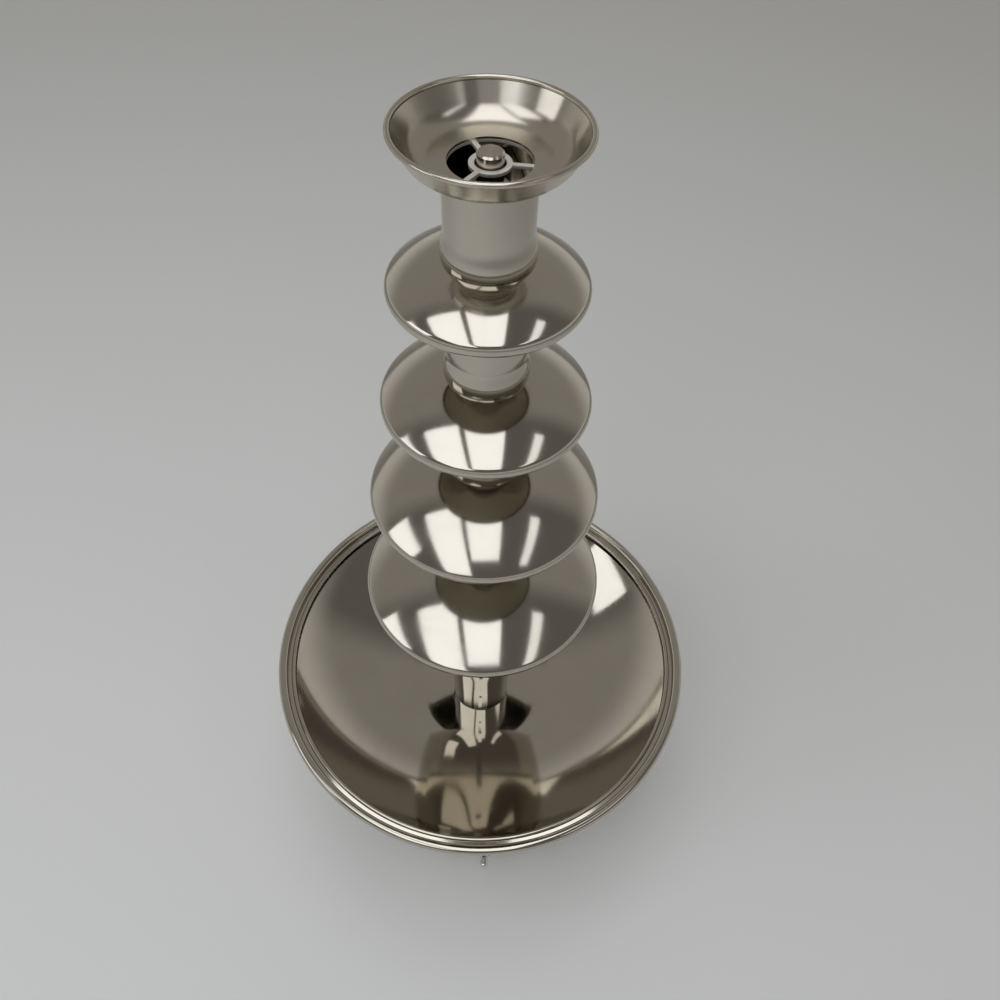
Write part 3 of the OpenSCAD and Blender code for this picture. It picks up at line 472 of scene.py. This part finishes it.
def softened(name: str, node: str, width: float) -> Object:
    """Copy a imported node, weld its triangles and round its edges.

    Args:
        name: the copy's name.
        node: the node that is copied.
        width: the width of the rounded edge in millimetres.

    Returns:
        The copy.
    """
    obj = bpy.data.objects.new(name, frame["nodes"][node].data.copy())
    bpy.context.scene.collection.objects.link(obj)
    obj.data.name = name
    deselect()
    obj.select_set(True)
    bpy.context.view_layer.objects.active = obj
    bpy.ops.object.mode_set(mode="EDIT")
    bpy.ops.mesh.select_all(action="SELECT")
    bpy.ops.mesh.remove_doubles(threshold=WELD)
    bpy.ops.mesh.dissolve_limited(angle_limit=math.radians(0.5))
    bpy.ops.object.mode_set(mode="OBJECT")
    applied(obj, "BEVEL", width=width * MM, segments=2, limit_method="ANGLE", angle_limit=math.radians(40),
            use_clamp_overlap=True)
    return smooth(obj)


def dress(obj: Object, finish: Finish, body: str, slot: str, *nodes: str) -> Object:
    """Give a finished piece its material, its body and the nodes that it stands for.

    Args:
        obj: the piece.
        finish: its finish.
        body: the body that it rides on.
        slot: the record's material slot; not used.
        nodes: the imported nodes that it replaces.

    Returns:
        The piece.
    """
    obj.data.materials.clear()
    obj.data.materials.append(finish.material())
    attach(obj, body)
    if nodes:
        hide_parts(*nodes)
    LOG.info("%s: %d faces on %s", obj.name, len(obj.data.polygons), body)
    return obj


@dataclass
class Tube:
    """Sizes that the tower's tube sections share, in millimetres."""

    radius: float = 21.2
    wall: float = 1.2
    collar_h: float = 6.0
    collar_fit: float = 0.3
    taper: float = 1.5
    flare: float = 10.0
    flare_steps: int = 10
    flare_start: float = 1.0
    spigot_h: float = 5.4
    edge: float = 0.35

    @property
    def bore(self) -> float:
        """Inside radius of the tube."""
        return self.radius - self.wall

    @property
    def collar_bore(self) -> float:
        """Inside radius of a collar."""
        return self.radius + self.collar_fit

    @property
    def collar(self) -> float:
        """Outside radius of a collar."""
        return self.collar_bore + self.wall

    def profile(self, low: float, high: float) -> list[Point]:
        """Outline of a section's wall.

        Args:
            low: height of the collar's foot.
            high: height of the top edge.

        Returns:
            The closed outline, foot first.
        """
        shoulder = low + self.collar_h
        e = self.edge
        foot = arc((self.collar - e, low + e), e, -90, 0, 4)
        along = [i / self.flare_steps for i in range(self.flare_steps + 1)]
        swell = [(self.collar + (self.radius - self.collar) * t * t * (3 - 2 * t),
                  shoulder - self.flare_start + self.flare * t) for t in along]
        top = arc((self.radius - e, high - e), e, 0, 90, 4)
        inside = [(self.bore, high), (self.bore, shoulder + self.taper), (self.collar_bore, shoulder),
                  (self.collar_bore, low)]
        return foot + swell + top + inside


@dataclass
class Dome:
    """A spun dome on its tube section: one long arc from the neck, tangent to a rounded edge."""

    number: int
    diameter: float
    rise: float
    neck: float
    low: float
    tube: Tube
    shoulder: float = 5.0
    sheet: float = 1.0
    lip_drop: float = 2.5
    bulge: float = 0.6
    seat_play: float = 0.1
    weld_play: float = 0.05

    @property
    def body(self) -> str:
        """The body that carries the dome."""
        return f"tier_{self.number}"

    def profile(self) -> list[Point]:
        """Outline of the dome's sheet.

        Returns:
            The closed outline: outside from the neck down, then inside back up.
        """
        neck = Vector((self.tube.radius, self.neck - self.seat_play))
        edge = Vector((self.diameter / 2 - self.shoulder, neck.y - self.rise))
        d = edge - neck
        slope = (math.atan2(-d.y, d.x) - math.asin(self.shoulder / d.length)) * (1 - self.bulge)
        normal = Vector((math.sin(slope), math.cos(slope)))
        radius = (self.shoulder ** 2 - d.length_squared) / (2 * (d.dot(normal) + self.shoulder))
        centre = neck - radius * normal
        meet = math.degrees(math.atan2(edge.y - centre.y, edge.x - centre.x))
        hole = self.tube.radius + self.weld_play
        outer, inner = radius, radius - self.sheet
        start_out = math.degrees(math.acos((hole - centre.x) / outer))
        start_in = math.degrees(math.acos((hole - centre.x) / inner))
        lip = -math.degrees(math.asin(self.lip_drop / self.shoulder))
        turn = 18
        outside = arc(centre, outer, start_out, meet, 26)[:-1] + arc(edge, self.shoulder, meet, lip, 22)
        middle = self.shoulder - self.sheet / 2
        lip_at = (edge.x + middle * math.cos(math.radians(lip)), edge.y + middle * math.sin(math.radians(lip)))
        hem = arc(lip_at, self.sheet / 2, lip, lip - 180, 6)[1:-1]
        inside = arc(edge, self.shoulder - self.sheet, lip, meet, turn) + arc(centre, inner, meet, start_in, turn)[1:]
        return outside + hem + inside

    def build(self) -> None:
        """Spin the dome and its tube section and dress them."""
        dome = turned(f"dome_{self.number}_spun", self.profile(), 192)
        dress(dome, Finish.BUFFED, self.body, "polished_steel", f"dome_{self.number}")
        tube = turned(f"section_{self.number}_tube", self.tube.profile(self.low, self.neck + self.tube.spigot_h))
        dress(tube, Finish.POLISHED, self.body, "polished_steel", f"section_tube_{self.number}")


@dataclass
class FootDome(Dome):
    """The lowest dome, whose tube is the tower's wide foot with its inlet notches."""

    step: float = 1.8
    foot_edge: float = 0.9
    notch_w: float = 14.0
    notch_h: float = 15.0
    vent_d: float = 2.6
    vent_h: float = 25.0
    vent_turn: float = -3.0

    def foot_profile(self) -> list[Point]:
        """Outline of the foot's wall, from the bowl's seat up to the spigot."""
        tube, foot = self.tube, self.tube.radius + self.step
        widen = self.neck - tube.collar_h
        wide = widen - 2 * self.step
        top = self.neck + tube.spigot_h
        edge = arc((foot - self.foot_edge, self.low + self.foot_edge), self.foot_edge, -90, 0, 5)
        outside = edge + [(foot, wide - 0.8), (foot - 0.2, wide + 0.4), (tube.radius + 0.2, widen - 0.4),
                   (tube.radius, widen + 0.8)]
        inside = [(tube.bore, top), (tube.bore, widen), (foot - tube.wall, wide), (foot - tube.wall, self.low)]
        return outside + arc((tube.radius - tube.edge, top - tube.edge), tube.edge, 0, 90, 4) + inside

    def build(self) -> None:
        """Spin the dome and the foot, cut the notches and the vent, and dress them."""
        dome = turned("dome_4_spun", self.profile(), 192)
        dress(dome, Finish.BUFFED, self.body, "polished_steel", "dome_4")
        foot = turned("tower_foot", self.foot_profile())
        reach = self.tube.radius + 2 * self.step
        half, straight = self.notch_w / 2, self.notch_h - self.notch_w / 2
        through = moved(rod(half, -reach, reach), Matrix.Translation((0, 0, (self.low + straight) * MM))
                        @ Matrix.Rotation(math.pi / 2, 4, "Y"))
        sides = block((-reach, -half, self.low - 1), (reach, half, self.low + straight))
        vent = moved(rod(self.vent_d / 2, 0, reach, 24), Matrix.Translation((0, 0, (self.low + self.vent_h) * MM))
                     @ Matrix.Rotation(math.radians(self.vent_turn), 4, "Z") @ Matrix.Rotation(math.pi / 2, 4, "X"))
        for cutter in (through, sides, vent):
            drilled(foot, [cutter])
        dress(foot, Finish.POLISHED, self.body, "polished_steel", "foot_tube")


@dataclass
class Crown:
    """The flared dish on top of the tower, its tube, the weld below it and the guide in its floor."""

    tube: Tube
    low: float = 554.3
    floor: float = 600.0
    diameter: float = 87.0
    floor_d: float = 53.0
    curve: float = 12.0
    flare: float = 60.0
    sheet: float = 1.0
    bead: float = 1.3
    lip: float = 1.4
    weld_w: float = 1.8

    def dish_profile(self) -> list[Point]:
        """Outline of the dish's sheet, from the floor's hole out to the bead and back."""
        hole, turn = self.tube.bore - self.lip, self.flare - 90
        centre = (self.floor_d / 2, self.floor + self.sheet + self.curve)
        along = Vector((math.cos(math.radians(self.flare)), math.sin(math.radians(self.flare))))
        across = Vector((along.y, -along.x))
        start = Vector(centre) + across * (self.curve + self.sheet / 2)
        rim = start + along * ((self.diameter / 2 - self.bead - start.x) / along.x)
        half = math.degrees(math.asin(self.sheet / 2 / self.bead))
        inside = [(hole, self.floor + self.sheet)] + arc(centre, self.curve, -90, turn, 16)
        bead = arc(rim, self.bead, self.flare + 180 - half, self.flare - 180 + half, 18)
        outside = arc(centre, self.curve + self.sheet, turn, -90, 16) + [(hole, self.floor)]
        return inside + bead + outside

    def build(self) -> None:
        """Spin the dish and its tube, lay the weld and dress the guide."""
        dish = turned("crown_dish_spun", self.dish_profile(), 192)
        dress(dish, Finish.TURNED, "crown", "polished_steel", "crown_dish")
        tube = turned("crown_stem", self.tube.profile(self.low, self.floor))
        dress(tube, Finish.POLISHED, "crown", "polished_steel", "crown_tube")
        dress(self.weld(), Finish.POLISHED, "crown", "polished_steel")
        guide = softened("crown_spider", "crown_guide", 0.25)
        dress(guide, Finish.GUIDE, "crown", "satin_steel", "crown_guide")

    def weld(self) -> Object:
        """Lay an uneven bead of weld in the corner between the tube and the dish."""
        middle = (self.tube.radius + self.weld_w / 2, self.floor - self.weld_w / 2)
        ring = turned("crown_weld", arc(middle, self.weld_w * 0.75, 0, 330, 11), 220)
        ripple = bpy.data.textures.new("weld ripple", "CLOUDS")
        ripple.noise_scale = 3 * MM
        applied(ring, "DISPLACE", texture=ripple, texture_coords="LOCAL", strength=0.9 * MM, mid_level=0.5)
        return smooth(ring)


@dataclass
class Auger:
    """The screw that lifts the chocolate: a core with a pin on top and a helical flight."""

    low: float = 121.0
    core: float = 9.0
    pin: float = 6.0
    shoulder: float = 589.5
    top: float = 605.0
    chamfer: float = 0.8
    socket: float = 5.15
    socket_depth: float = 16.0
    slot: float = 4.3
    slot_h: float = 8.15
    flight_r: float = 19.25
    flight_low: float = 122.0
    flight_high: float = 573.5
    flight_t: float = 2.0
    pitch: float = 36.0

    def build(self) -> None:
        """Turn the core, wind the flight and dress both."""
        ceiling = self.low + self.socket_depth
        core = turned("auger_core_turned", [
            (0, ceiling), (self.socket, ceiling), (self.socket, self.low), (self.core - 0.4, self.low),
            (self.core, self.low + 0.4), (self.core, self.shoulder - 0.4), (self.core - 0.4, self.shoulder),
            (self.pin, self.shoulder), (self.pin, self.top - self.chamfer), (self.pin - self.chamfer, self.top),
            (0, self.top)], 96, closed=False)
        slot = block((-self.core - 1, -self.slot / 2, self.low - 1),
                     (self.core + 1, self.slot / 2, self.low + self.slot_h))
        dress(drilled(core, [slot]), Finish.TURNED, "auger", "satin_steel", "auger_core")
        dress(self.flight(), Finish.SATIN, "auger", "satin_steel", "auger_flight")

    def flight(self) -> Object:
        """Wind the flight from one radial edge.

        Returns:
            The flight, with its thickness.
        """
        blade = one_point("auger_flight_wound")
        bpy.ops.transform.translate(value=((self.core + 0.05) * MM, 0, (self.flight_low + self.flight_t / 2) * MM))
        bpy.ops.mesh.extrude_region_move(
            TRANSFORM_OT_translate={"value": ((self.flight_r - self.core - 0.05) * MM, 0, 0)})
        bpy.ops.object.mode_set(mode="OBJECT")
        rise = self.flight_high - self.flight_low
        turns = rise / self.pitch
        applied(blade, "SCREW", angle=math.tau * turns, screw_offset=rise * MM, steps=int(turns * 48),
                render_steps=int(turns * 48), iterations=1, axis="Z")
        applied(blade, "SOLIDIFY", thickness=self.flight_t * MM, offset=0.0)
        deselect()
        blade.select_set(True)
        bpy.context.view_layer.objects.active = blade
        bpy.ops.object.mode_set(mode="EDIT")
        bpy.ops.mesh.select_all(action="SELECT")
        bpy.ops.mesh.normals_make_consistent(inside=False)
        bpy.ops.object.mode_set(mode="OBJECT")
        return smooth(blade)


@dataclass
class Bowl:
    """The dished bowl: a flat seat, a ridge round its mouth, a flange and a rolled bead."""

    rim: float = 178.0
    radius: float = 160.0
    floor: float = 112.0
    mouth_wall: float = 4.3
    sheet: float = 1.5
    bead: float = 3.5
    flange_w: float = 13.0
    ridge: float = 1.7
    flange_drop: float = 1.7
    seat: float = 52.0
    blend: float = 60.0
    hole: float = 12.1

    @property
    def centre(self) -> Point:
        """Centre of the dish's sphere."""
        top = self.rim - self.flange_drop - self.mouth_wall
        mouth = self.radius - self.flange_w
        return 0.0, ((mouth ** 2 - self.seat ** 2) / (top - self.floor) + top + self.floor) / 2

    @property
    def dish(self) -> float:
        """Radius of the dish's inside."""
        return math.hypot(self.seat, self.centre[1] - self.floor)

    def under(self, r: float) -> float:
        """Height of the bowl's underside at a distance from the axis."""
        return self.centre[1] - math.sqrt((self.dish + self.sheet) ** 2 - r ** 2)

    def profile(self) -> list[Point]:
        """Outline of the bowl's sheet.

        Returns:
            The closed outline: inside from the hole out to the bead, then back underneath.
        """
        mouth = self.radius - self.flange_w
        top = self.rim - self.flange_drop
        under = self.dish + self.sheet
        lift = self.centre[1] - self.floor - self.blend
        start = math.sqrt((self.dish - self.blend) ** 2 - lift ** 2)
        meet, rise = -math.degrees(math.atan2(lift, start)), -math.degrees(math.acos(mouth / self.dish))
        back = [-math.degrees(math.acos(r / under)) for r in (mouth + self.sheet, self.seat)]
        bead_at = (self.radius - self.bead, self.rim)
        enter = 180 + math.degrees(math.asin(self.flange_drop / self.bead))
        leave = -180 + math.degrees(math.asin((self.flange_drop + self.sheet) / self.bead))
        seat = [(self.hole, self.floor), ((self.hole + start) / 2, self.floor)]
        eased = arc((start, self.floor + self.blend), self.blend, -90, meet, 12)
        inside = seat + eased + arc(self.centre, self.dish, meet, rise, 60)[1:]
        ridge = arc((mouth + self.ridge, top), self.ridge, 180, 0, 14)
        bead = arc(bead_at, self.bead, enter, leave, 30)
        outside = [(mouth + self.sheet, top - self.sheet)] + arc(self.centre, under, back[0], back[1], 40)
        return inside + ridge + bead + outside + [(self.hole, self.floor - self.sheet)]

    def build(self) -> None:
        """Spin the bowl and dress it."""
        bowl = turned("bowl_spun", self.profile(), 224)
        dress(bowl, Finish.POLISHED, "base", "polished_steel", "bowl")


@dataclass
class Base:
    """The drum under the bowl, its seal and its feet."""

    bowl: Bowl
    radius: float = 111.0
    sheet: float = 1.2
    low: float = 12.0
    seal: float = 1.5
    foot_h: float = 10.5
    foot_d: float = 26.0
    foot_ring: float = 88.0
    panel_h: float = 45.0
    panel_step: float = 48.0
    inlet_h: float = 42.0
    inlet_half: Point = (14.2, 10.4)
    toggle_hole: float = 6.15
    dial_hole: float = 5.2
    lamp_hole: float = 4.7
    cut: float = 20.0

    @property
    def top(self) -> float:
        """Height of the drum's upper edge."""
        return self.bowl.under(self.radius) - self.seal

    def wall(self, angle: float, height: float) -> Matrix:
        """Frame on the drum's wall: X along the wall, Y up, Z outwards.

        Args:
            angle: where on the drum, in degrees from +X.
            height: height above the table in millimetres.

        Returns:
            The frame's matrix, in metres.
        """
        turn = Matrix.Rotation(math.radians(angle), 4, "Z")
        upright = Matrix.Rotation(math.pi / 2, 4, "Z") @ Matrix.Rotation(math.pi / 2, 4, "X")
        return turn @ Matrix.Translation((self.radius * MM, 0, height * MM)) @ upright

    def build(self) -> None:
        """Spin the drum and the seal, cut the openings, make the feet and dress them."""
        inner, e = self.radius - self.sheet, 0.3
        drum = turned("drum_wall", [
            (inner, self.low), (self.radius - e, self.low), (self.radius, self.low + e), (self.radius, self.top - e),
            (self.radius - e, self.top), (inner, self.top)], 192)
        front = [(-90.0, self.toggle_hole), (-90.0 + self.panel_step, self.toggle_hole),
                 (-90.0 - self.panel_step, self.dial_hole), (-90.0 + self.panel_step / 2, self.lamp_hole)]
        for angle, radius in front:
            drilled(drum, [moved(rod(radius, -self.cut, self.cut), self.wall(angle, self.panel_h))])
        x, y = self.inlet_half
        drilled(drum, [moved(block((-x, -y, -self.cut), (x, y, self.cut)), self.wall(90.0, self.inlet_h))])
        dress(drum, Finish.SATIN, "base", "satin_steel", "base_drum")
        self.build_seal()
        self.build_feet()
        for node, width in (("base_plate", 0.3), ("foot_screws", 0.3), ("tie_screws", 0.3)):
            slot = "satin_steel" if node == "base_plate" else "zinc_steel"
            dress(softened(f"{node}_eased", node, width), SLOT_FINISH[slot], "base", slot, node)

    def build_seal(self) -> None:
        """Spin the rubber seal that closes the gap between drum and bowl."""
        side, overlap, play = 2.0, 3.0, 0.05
        inner, outer = self.radius - self.sheet - side, self.radius + side
        slot_in, slot_out = self.radius - self.sheet - play, self.radius + play
        crest = [(r, self.bowl.under(r) - play) for r in (inner, self.radius, outer - 0.6)]
        low = self.top - overlap
        seal = turned("drum_gasket", [
            (slot_in, low), (slot_in, self.top), (slot_out, self.top), (slot_out, low), (outer - 0.5, low),
            (outer, low + 0.5), (outer, self.bowl.under(outer) - 0.5)] + crest[::-1] + [(inner, low)], 160)
        dress(seal, Finish.RUBBER, "base", "rubber", "drum_seal")

    def build_feet(self) -> None:
        """Turn one rubber foot and copy it to its four places."""
        r, h, recess, hole = self.foot_d / 2, self.foot_h, 5.5, 2.1
        profile = [(hole, h), (hole, 5.0), (recess, 5.0), (recess, 0.6), (recess + 0.6, 0.0), (r - 3.0, 0.0),
                   (r - 2.1, 0.3), (r - 1.8, 1.0), (r - 0.5, h - 2.0), (r, h - 1.2), (r, h)]
        first = turned("foot", profile, 64)
        feet = []
        for angle in (45, 135, 225, 315):
            foot = first.copy()
            foot.data = first.data.copy()
            bpy.context.scene.collection.objects.link(foot)
            a = math.radians(angle)
            at = (self.foot_ring * math.cos(a) * MM, self.foot_ring * math.sin(a) * MM, 0)
            feet.append(moved(foot, Matrix.Translation(at)))
        bpy.data.objects.remove(first)
        dress(joined("rubber_feet", feet), Finish.RUBBER, "base", "rubber", "feet")


@dataclass
class Toggle:
    """A bat-handle toggle switch: threaded bushing, nut and lever."""

    name: str
    body: str
    angle: float
    base: Base
    bushing_r: float = 5.95
    bushing_out: float = 13.0
    ball: float = 3.2
    play: float = 0.3
    lever_l: float = 12.5
    lever_r: float = 3.25
    tilt: float = 13.0
    thread: float = 0.75
    back: float = -2.45

    def build(self) -> None:
        """Turn the bushing and the lever, ease the nut and dress them."""
        place = self.base.wall(self.angle, self.base.panel_h)
        bore, well = self.ball + self.play, self.bushing_out - 2 * self.ball - self.play
        r, out, crest = self.bushing_r, self.bushing_out, 0.35
        ridge = [(r - (crest if i % 2 else 0.0), 2.9 + i * self.thread / 2)
                 for i in range(int((out - 0.8 - 2.9) / self.thread * 2))]
        bushing = turned(f"{self.name}_bushing_threaded", [
            (0, well), (0, self.back), (r, self.back), (r, 2.5)] + ridge + [
            (r - 0.5, out - 0.4), (r - 0.9, out), (bore + 1.0, out), (bore, out - 1.0), (bore, well)], 64)
        dress(moved(bushing, place), Finish.CHROME, "base", "chrome", f"{self.name}_bushing")
        nut = softened(f"{self.name}_nut_eased", f"{self.name}_nut", 0.35)
        dress(nut, Finish.CHROME, "base", "chrome", f"{self.name}_nut")
        neck, tip = 0.29 * 2 * self.lever_r, self.lever_r
        meet = math.degrees(math.acos(neck / self.ball))
        lever = turned(f"{self.name}_lever_bat", arc((0, 0), self.ball, -90, meet, 14)
                       + [(neck + 0.35, 4.0), (tip - 0.12, self.lever_l - tip - 2.0)]
                       + arc((0, self.lever_l - tip), tip, 0, 90, 10), 48, closed=False)
        pivot = Matrix.Translation((0, 0, (out - self.ball) * MM)) @ Matrix.Rotation(math.radians(-self.tilt), 4, "Y")
        dress(moved(lever, place @ pivot), Finish.CHROME, self.body, "chrome", f"{self.name}_lever")


@dataclass
class Controls:
    """What sits on the drum beside the toggles: thermostat, pilot lamp and mains inlet."""

    base: Base
    lamp_r: float = 4.5

    def build(self) -> None:
        """Make the lamp's lens and ease the edges of the other pieces."""
        eased = [("thermostat_knob", 0.4, "thermostat_dial", "knob_plastic"),
                 ("thermostat_nut", 0.3, "base", "zinc_steel"), ("inlet_frame", 0.8, "base", "black_plastic"),
                 ("mains_inlet", 0.5, "base", "black_plastic"), ("inlet_pins", 0.3, "base", "brass"),
                 ("inlet_screws", 0.4, "base", "zinc_steel")]
        for node, width, body, slot in eased:
            dress(softened(f"{node}_eased", node, width), SLOT_FINISH[slot], body, slot, node)
        place = self.base.wall(-90.0 + self.base.panel_step / 2, self.base.panel_h)
        r, flange = self.lamp_r, 1.6
        holder = turned("pilot_lamp_bezel", [
            (r - 1.0, -1.5), (0.0, -1.5), (0.0, -16.0), (r, -16.0), (r, 0.1), (r + 2.0, 0.1), (r + 2.0, flange - 0.5),
            (r + 1.6, flange), (r - 1.0, flange)], 64)
        dress(moved(holder, place), Finish.BLACK, "base", "black_plastic", "pilot_lamp_holder")
        cap = r - 0.1
        lens = turned("pilot_lamp_jewel", [
            (0.0, -1.45), (r - 1.05, -1.45), (r - 1.05, flange + 0.05), (cap, flange + 0.05), (cap, flange + 1.2)]
            + [(cap * math.cos(a), flange + 1.2 + 3.2 * math.sin(a))
               for a in (math.radians(9 * i) for i in range(1, 11))], 64, closed=False)
        dress(moved(lens, place), Finish.AMBER, "base", "amber_lens", "pilot_lamp_lens")


@dataclass(frozen=True)
class Panel:
    """A soft light panel that hangs at a place and faces a point, in metres."""

    name: str
    at: tuple[float, float, float]
    faces: tuple[float, float, float]
    width: float
    length: float
    radiance: float
    tint: str

    def build(self) -> None:
        """Hang the panel, unseen by the camera itself."""
        lamp = bpy.data.lights.new(self.name, "AREA")
        lamp.shape = "RECTANGLE"
        lamp.size, lamp.size_y = self.width, self.length
        lamp.energy = self.radiance * math.pi * self.width * self.length
        lamp.color = linear(self.tint)[:3]
        obj = bpy.data.objects.new(self.name, lamp)
        bpy.context.scene.collection.objects.link(obj)
        obj.location = self.at
        obj.rotation_mode = "QUATERNION"
        obj.rotation_quaternion = (Vector(self.faces) - Vector(self.at)).to_track_quat("-Z", "Y")
        obj.visible_camera = False


@dataclass
class Studio:
    """The floor, the softboxes, the plain room round them, and the camera."""

    floor_colour: str = "#f2f2f0"
    floor_size: float = 60.0
    ceiling: str = "#6d6b68"
    wall: str = "#979591"
    low_wall: str = "#cbcac7"
    focal_px: float = 859.88
    image_px: float = 1000.0
    position: tuple[float, float, float] = (0.0, -332.6, 795.6)
    pitch: float = 0.9056
    yaw: float = 0.0299
    roll: float = 0.0424
    turn: float = -3.3

    def panels(self) -> list[Panel]:
        """The softboxes: two wide ones overhead in front, a narrow one at the right and one at the left."""
        day = "#f1f5fb"
        return [
            Panel("left_softbox", (-0.98, -1.15, 2.05), (-0.98, -1.15, 0.0), 0.95, 2.3, 1.8, day),
            Panel("middle_softbox", (-0.02, -0.45, 2.05), (-0.02, -0.45, 0.0), 0.75, 2.1, 1.8, day),
            Panel("right_softbox", (1.2, -1.0, 2.05), (1.2, -1.0, 0.0), 0.3, 1.6, 1.5, day),
            Panel("side_softbox", (-2.5, -0.5, 1.7), (0.0, 0.0, 0.3), 1.3, 0.9, 1.8, day),
        ]

    def build(self) -> None:
        """Lay the floor, hang the lamps, paint the world and set the camera."""
        self.lay_floor()
        for panel in self.panels():
            panel.build()
        self.paint_world()
        self.set_camera()
        bpy.context.scene.view_settings.view_transform = "Standard"

    def lay_floor(self) -> None:
        """Lay a wide pale floor under the feet."""
        deselect()
        bpy.ops.mesh.primitive_plane_add(size=self.floor_size, location=(0, 0, 0))
        floor = bpy.context.active_object
        floor.name = "floor"
        material, tree = new_material("pale floor")
        place = add_node(tree, "ShaderNodeTexCoord").outputs["Object"]
        cloud = add_node(tree, "ShaderNodeTexNoise", {"Scale": 3.0, "Detail": 4.0}, {"Vector": place})
        rough = add_node(tree, "ShaderNodeMapRange", {"To Min": 0.45, "To Max": 0.65}, {"Value": cloud.outputs[0]})
        shader = add_node(tree, "ShaderNodeBsdfPrincipled", {"Base Color": linear(self.floor_colour)},
                          {"Roughness": rough.outputs[0]})
        close_material(tree, shader)
        floor.data.materials.append(material)

    def paint_world(self) -> None:
        """Give the room a dim ceiling, a lighter wall behind and a pale low wall all round."""
        world = bpy.data.worlds.new("studio")
        bpy.context.scene.world = world
        world.use_nodes = True
        tree = world.node_tree
        tree.nodes.clear()
        way = add_node(tree, "ShaderNodeSeparateXYZ",
                       links={0: add_node(tree, "ShaderNodeTexCoord").outputs["Generated"]})
        behind = add_node(tree, "ShaderNodeMapRange", {"interpolation_type": "SMOOTHSTEP", "From Min": 0.0,
                                                       "From Max": 0.3}, {"Value": way.outputs["Y"]})
        low = add_node(tree, "ShaderNodeMapRange", {"interpolation_type": "SMOOTHSTEP", "From Min": 0.05,
                                                    "From Max": 0.4}, {"Value": way.outputs["Z"]})
        high = add_node(tree, "ShaderNodeMix", {"data_type": "RGBA", 6: linear(self.ceiling), 7: linear(self.wall)},
                        {0: behind.outputs[0]})
        room = add_node(tree, "ShaderNodeMix", {"data_type": "RGBA", 6: linear(self.low_wall)},
                        {0: low.outputs[0], 7: high.outputs[2]})
        light = add_node(tree, "ShaderNodeBackground", links={"Color": room.outputs[2]})
        add_node(tree, "ShaderNodeOutputWorld", links={"Surface": light.outputs[0]})

    def set_camera(self) -> None:
        """Set the camera where the photograph was taken from."""
        data = bpy.data.cameras.new("camera")
        data.sensor_width = 36.0
        data.lens = data.sensor_width * self.focal_px / self.image_px
        data.clip_start, data.clip_end = 0.01, 50.0
        ahead = Vector((math.sin(self.yaw) * math.cos(self.pitch), math.cos(self.yaw) * math.cos(self.pitch),
                        -math.sin(self.pitch)))
        right = ahead.cross(Vector((0, 0, 1))).normalized()
        up = right.cross(ahead)
        c, s = math.cos(self.roll), math.sin(self.roll)
        right, up = c * right + s * up, c * up - s * right
        axes = Matrix((right, up, -ahead)).transposed().to_4x4()
        camera = bpy.data.objects.new("camera", data)
        bpy.context.scene.collection.objects.link(camera)
        place = Matrix.Translation(Vector(self.position) * MM) @ axes
        camera.matrix_world = Matrix.Rotation(math.radians(self.turn), 4, "Z") @ place
        bpy.context.scene.camera = camera


def dress_hidden_nodes() -> None:
    """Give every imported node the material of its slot, those inside the base too."""
    for part in frame["record"]["subparts"]:
        node = frame["nodes"][part["node"]]
        node.data.materials.clear()
        node.data.materials.append(SLOT_FINISH[part["material_slot"]].material())


def tower() -> Iterable[Dome]:
    """The four domes, from the top one down."""
    tube = Tube()
    yield Dome(1, 98.8, 16.6, 554.3, 482.5, tube)
    yield Dome(2, 115.0, 19.5, 482.5, 412.0, tube)
    yield Dome(3, 139.6, 27.4, 412.0, 315.0, tube)
    yield FootDome(4, 160.4, 26.6, 315.0, 112.0, tube)


def main() -> None:
    """Build the studio and every sub-assembly in order."""
    logging.basicConfig(level=logging.INFO, format="%(message)s")
    Studio().build()
    dress_hidden_nodes()
    bowl = Bowl()
    bowl.build()
    base = Base(bowl)
    base.build()
    for dome in tower():
        dome.build()
    Crown(Tube()).build()
    Auger().build()
    Toggle("motor_switch", "motor_lever", -90.0, base).build()
    Toggle("heat_switch", "heat_lever", -90.0 + base.panel_step, base).build()
    Controls(base).build()
    deselect()


if __name__ == "__main__":
    main()
